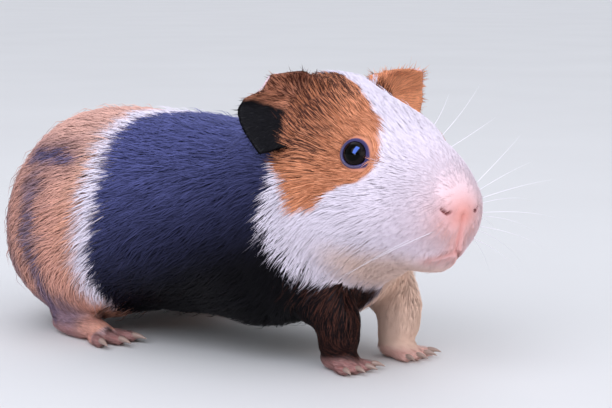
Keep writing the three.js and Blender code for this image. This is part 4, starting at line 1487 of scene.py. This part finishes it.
class GUINEAPIG_OT_coat(bpy.types.Operator):
    """Covers the skin with joined mesh tufts that lie along the body"""

    bl_idname = "guineapig.coat"
    bl_label = "Coat"

    def execute(self, context):
        sizes = context.scene.guinea_pig_sizes
        random = np.random.default_rng(sizes.seed)
        coat = Coat(bpy.data.objects["skin"])
        triangle, shares = plant(coat, sizes, random)
        material = coat_finish(context.scene.guinea_pig_colours)
        for name, groups in sorted(comb(coat, triangle, shares, random).items()):
            piece = build_tufts(name, groups)
            give(piece, material, COAT_SLOTS.get(name.split("_")[1], "coat_ginger"))
        return {"FINISHED"}


# ---- Stage ---------------------------------------------------------------
CAMERA_TURN, CAMERA_RISE, CAMERA_AWAY = 40.0, 8.0, 0.540  # degrees, degrees, metres
LOOK_AT = Vector((0.028703, -0.004917, 0.0491))
# Name, place round the animal, height and tilt in degrees, distance, size, power and colour.
LAMPS = [
    ("window", 8, 38, 0, 1.2, (0.70, 0.90), 7.5, (0.84, 0.88, 1.0)),
    ("fill", 88, 12, 0, 1.6, (1.2, 0.8), 6.0, (1.0, 0.93, 0.87)),
]
# Lamps that only the eyes mirror, so that they shine and the coat stays evenly lit.
EYE_LAMPS = [
    ("eye window", 35, 44, -28, 0.7, (0.40, 0.96), 130.0, (0.13, 0.26, 1.0)),
    ("eye sparkle", 30, 2, 0, 1.2, (0.34, 0.05), 2.0, (0.8, 0.86, 1.0)),
]
# Wide and even light: name, place round the animal and height in degrees, strength, and spread.
SKIES = [("main light", 60, 58, 1.2, 70.0), ("back light", -150, 50, 0.8, 60.0)]
SKY_TINT = (0.84, 0.88, 1.0)
ROOM_TINT, ROOM_LIGHT = (0.86, 0.89, 0.95, 1), 0.6


def towards(turn, rise):
    """The way from the model to a place round it, both angles being in degrees."""
    a, e = math.radians(turn), math.radians(rise)
    return Vector((math.sin(a) * math.cos(e), -math.cos(a) * math.cos(e), math.sin(e)))


def set_round(name, data, turn, rise, away, tilt=0):
    """Puts a lamp or the camera at a place round the model, facing it."""
    holder = bpy.data.objects.new(name, data)
    holder.location = LOOK_AT + towards(turn, rise) * away
    facing = towards(turn, rise).to_track_quat("Z", "Y")
    holder.rotation_euler = (facing @ Quaternion((0, 0, 1), math.radians(tilt))).to_euler()
    bpy.context.scene.collection.objects.link(holder)
    return holder


class GUINEAPIG_OT_stage(bpy.types.Operator):
    """Adds the pale floor, the soft lights and the camera"""

    bl_idname = "guineapig.stage"
    bl_label = "Stage"

    def execute(self, context):
        select_only(frame["nodes"]["trunk"])
        bpy.ops.mesh.primitive_plane_add(size=40, location=(0, 0, 0))
        floor = context.view_layer.objects.active
        floor.name = "floor"
        finish = Finish("pale floor")
        mottle = finish.mixed(finish.noise(6, 3), (0.64, 0.63, 0.62), (0.70, 0.69, 0.68))
        finish.set(Base_Color=mottle, Roughness=0.85)
        floor.data.materials.append(finish.material)
        eyes = bpy.data.collections.new("what the eye lamps light")
        for side in SIDES:
            eyes.objects.link(bpy.data.objects["eyeball_" + side])
        for name, turn, rise, tilt, away, size, power, tint in LAMPS + EYE_LAMPS:
            lamp = bpy.data.lights.new(name, "AREA")
            lamp.shape, lamp.size, lamp.size_y = "RECTANGLE", *size
            lamp.energy, lamp.color = power, tint
            holder = set_round(name, lamp, turn, rise, away, tilt)
            if name.startswith("eye"):
                holder.light_linking.receiver_collection = eyes
                holder.visible_diffuse = False
        for name, turn, rise, power, spread in SKIES:
            lamp = bpy.data.lights.new(name, "SUN")
            lamp.energy, lamp.angle, lamp.color = power, math.radians(spread), SKY_TINT
            set_round(name, lamp, turn, rise, 1.0)
        context.scene.view_settings.view_transform = "Standard"
        world = bpy.data.worlds.new("pale room")
        world.use_nodes = True
        background = world.node_tree.nodes["Background"]
        background.inputs["Color"].default_value = ROOM_TINT
        background.inputs["Strength"].default_value = ROOM_LIGHT
        context.scene.world = world
        lens = bpy.data.cameras.new("camera")
        lens.lens, lens.sensor_width, lens.clip_start, lens.clip_end = 100, 36, 0.01, 60
        context.scene.camera = set_round("camera", lens, CAMERA_TURN, CAMERA_RISE, CAMERA_AWAY)
        return {"FINISHED"}


OPERATORS = (GUINEAPIG_OT_skin, GUINEAPIG_OT_eyes, GUINEAPIG_OT_lids, GUINEAPIG_OT_ear_rims,
             GUINEAPIG_OT_claws, GUINEAPIG_OT_whiskers, GUINEAPIG_OT_coat, GUINEAPIG_OT_stage)


class GUINEAPIG_PT_panel(bpy.types.Panel):
    """Lists the steps that dress the model and the values they use"""

    bl_idname = "GUINEAPIG_PT_panel"
    bl_label = "Guinea Pig"
    bl_space_type = "VIEW_3D"
    bl_region_type = "UI"
    bl_category = "Guinea Pig"

    def draw(self, context):
        for group in (context.scene.guinea_pig_sizes, context.scene.guinea_pig_colours):
            column = self.layout.column()
            for name in group.__annotations__:
                column.prop(group, name)
        for operator in OPERATORS:
            self.layout.operator(operator.bl_idname)


CLASSES = (GuineaPigSizes, GuineaPigColours, *OPERATORS, GUINEAPIG_PT_panel)


def register():
    for item in CLASSES:
        bpy.utils.register_class(item)
    bpy.types.Scene.guinea_pig_sizes = bpy.props.PointerProperty(type=GuineaPigSizes)
    bpy.types.Scene.guinea_pig_colours = bpy.props.PointerProperty(type=GuineaPigColours)


def unregister():
    del bpy.types.Scene.guinea_pig_colours, bpy.types.Scene.guinea_pig_sizes
    for item in reversed(CLASSES):
        bpy.utils.unregister_class(item)


def main():
    register()
    for operator in OPERATORS:
        module, name = operator.bl_idname.split(".")
        getattr(getattr(bpy.ops, module), name)()


if __name__ == "__main__":
    main()
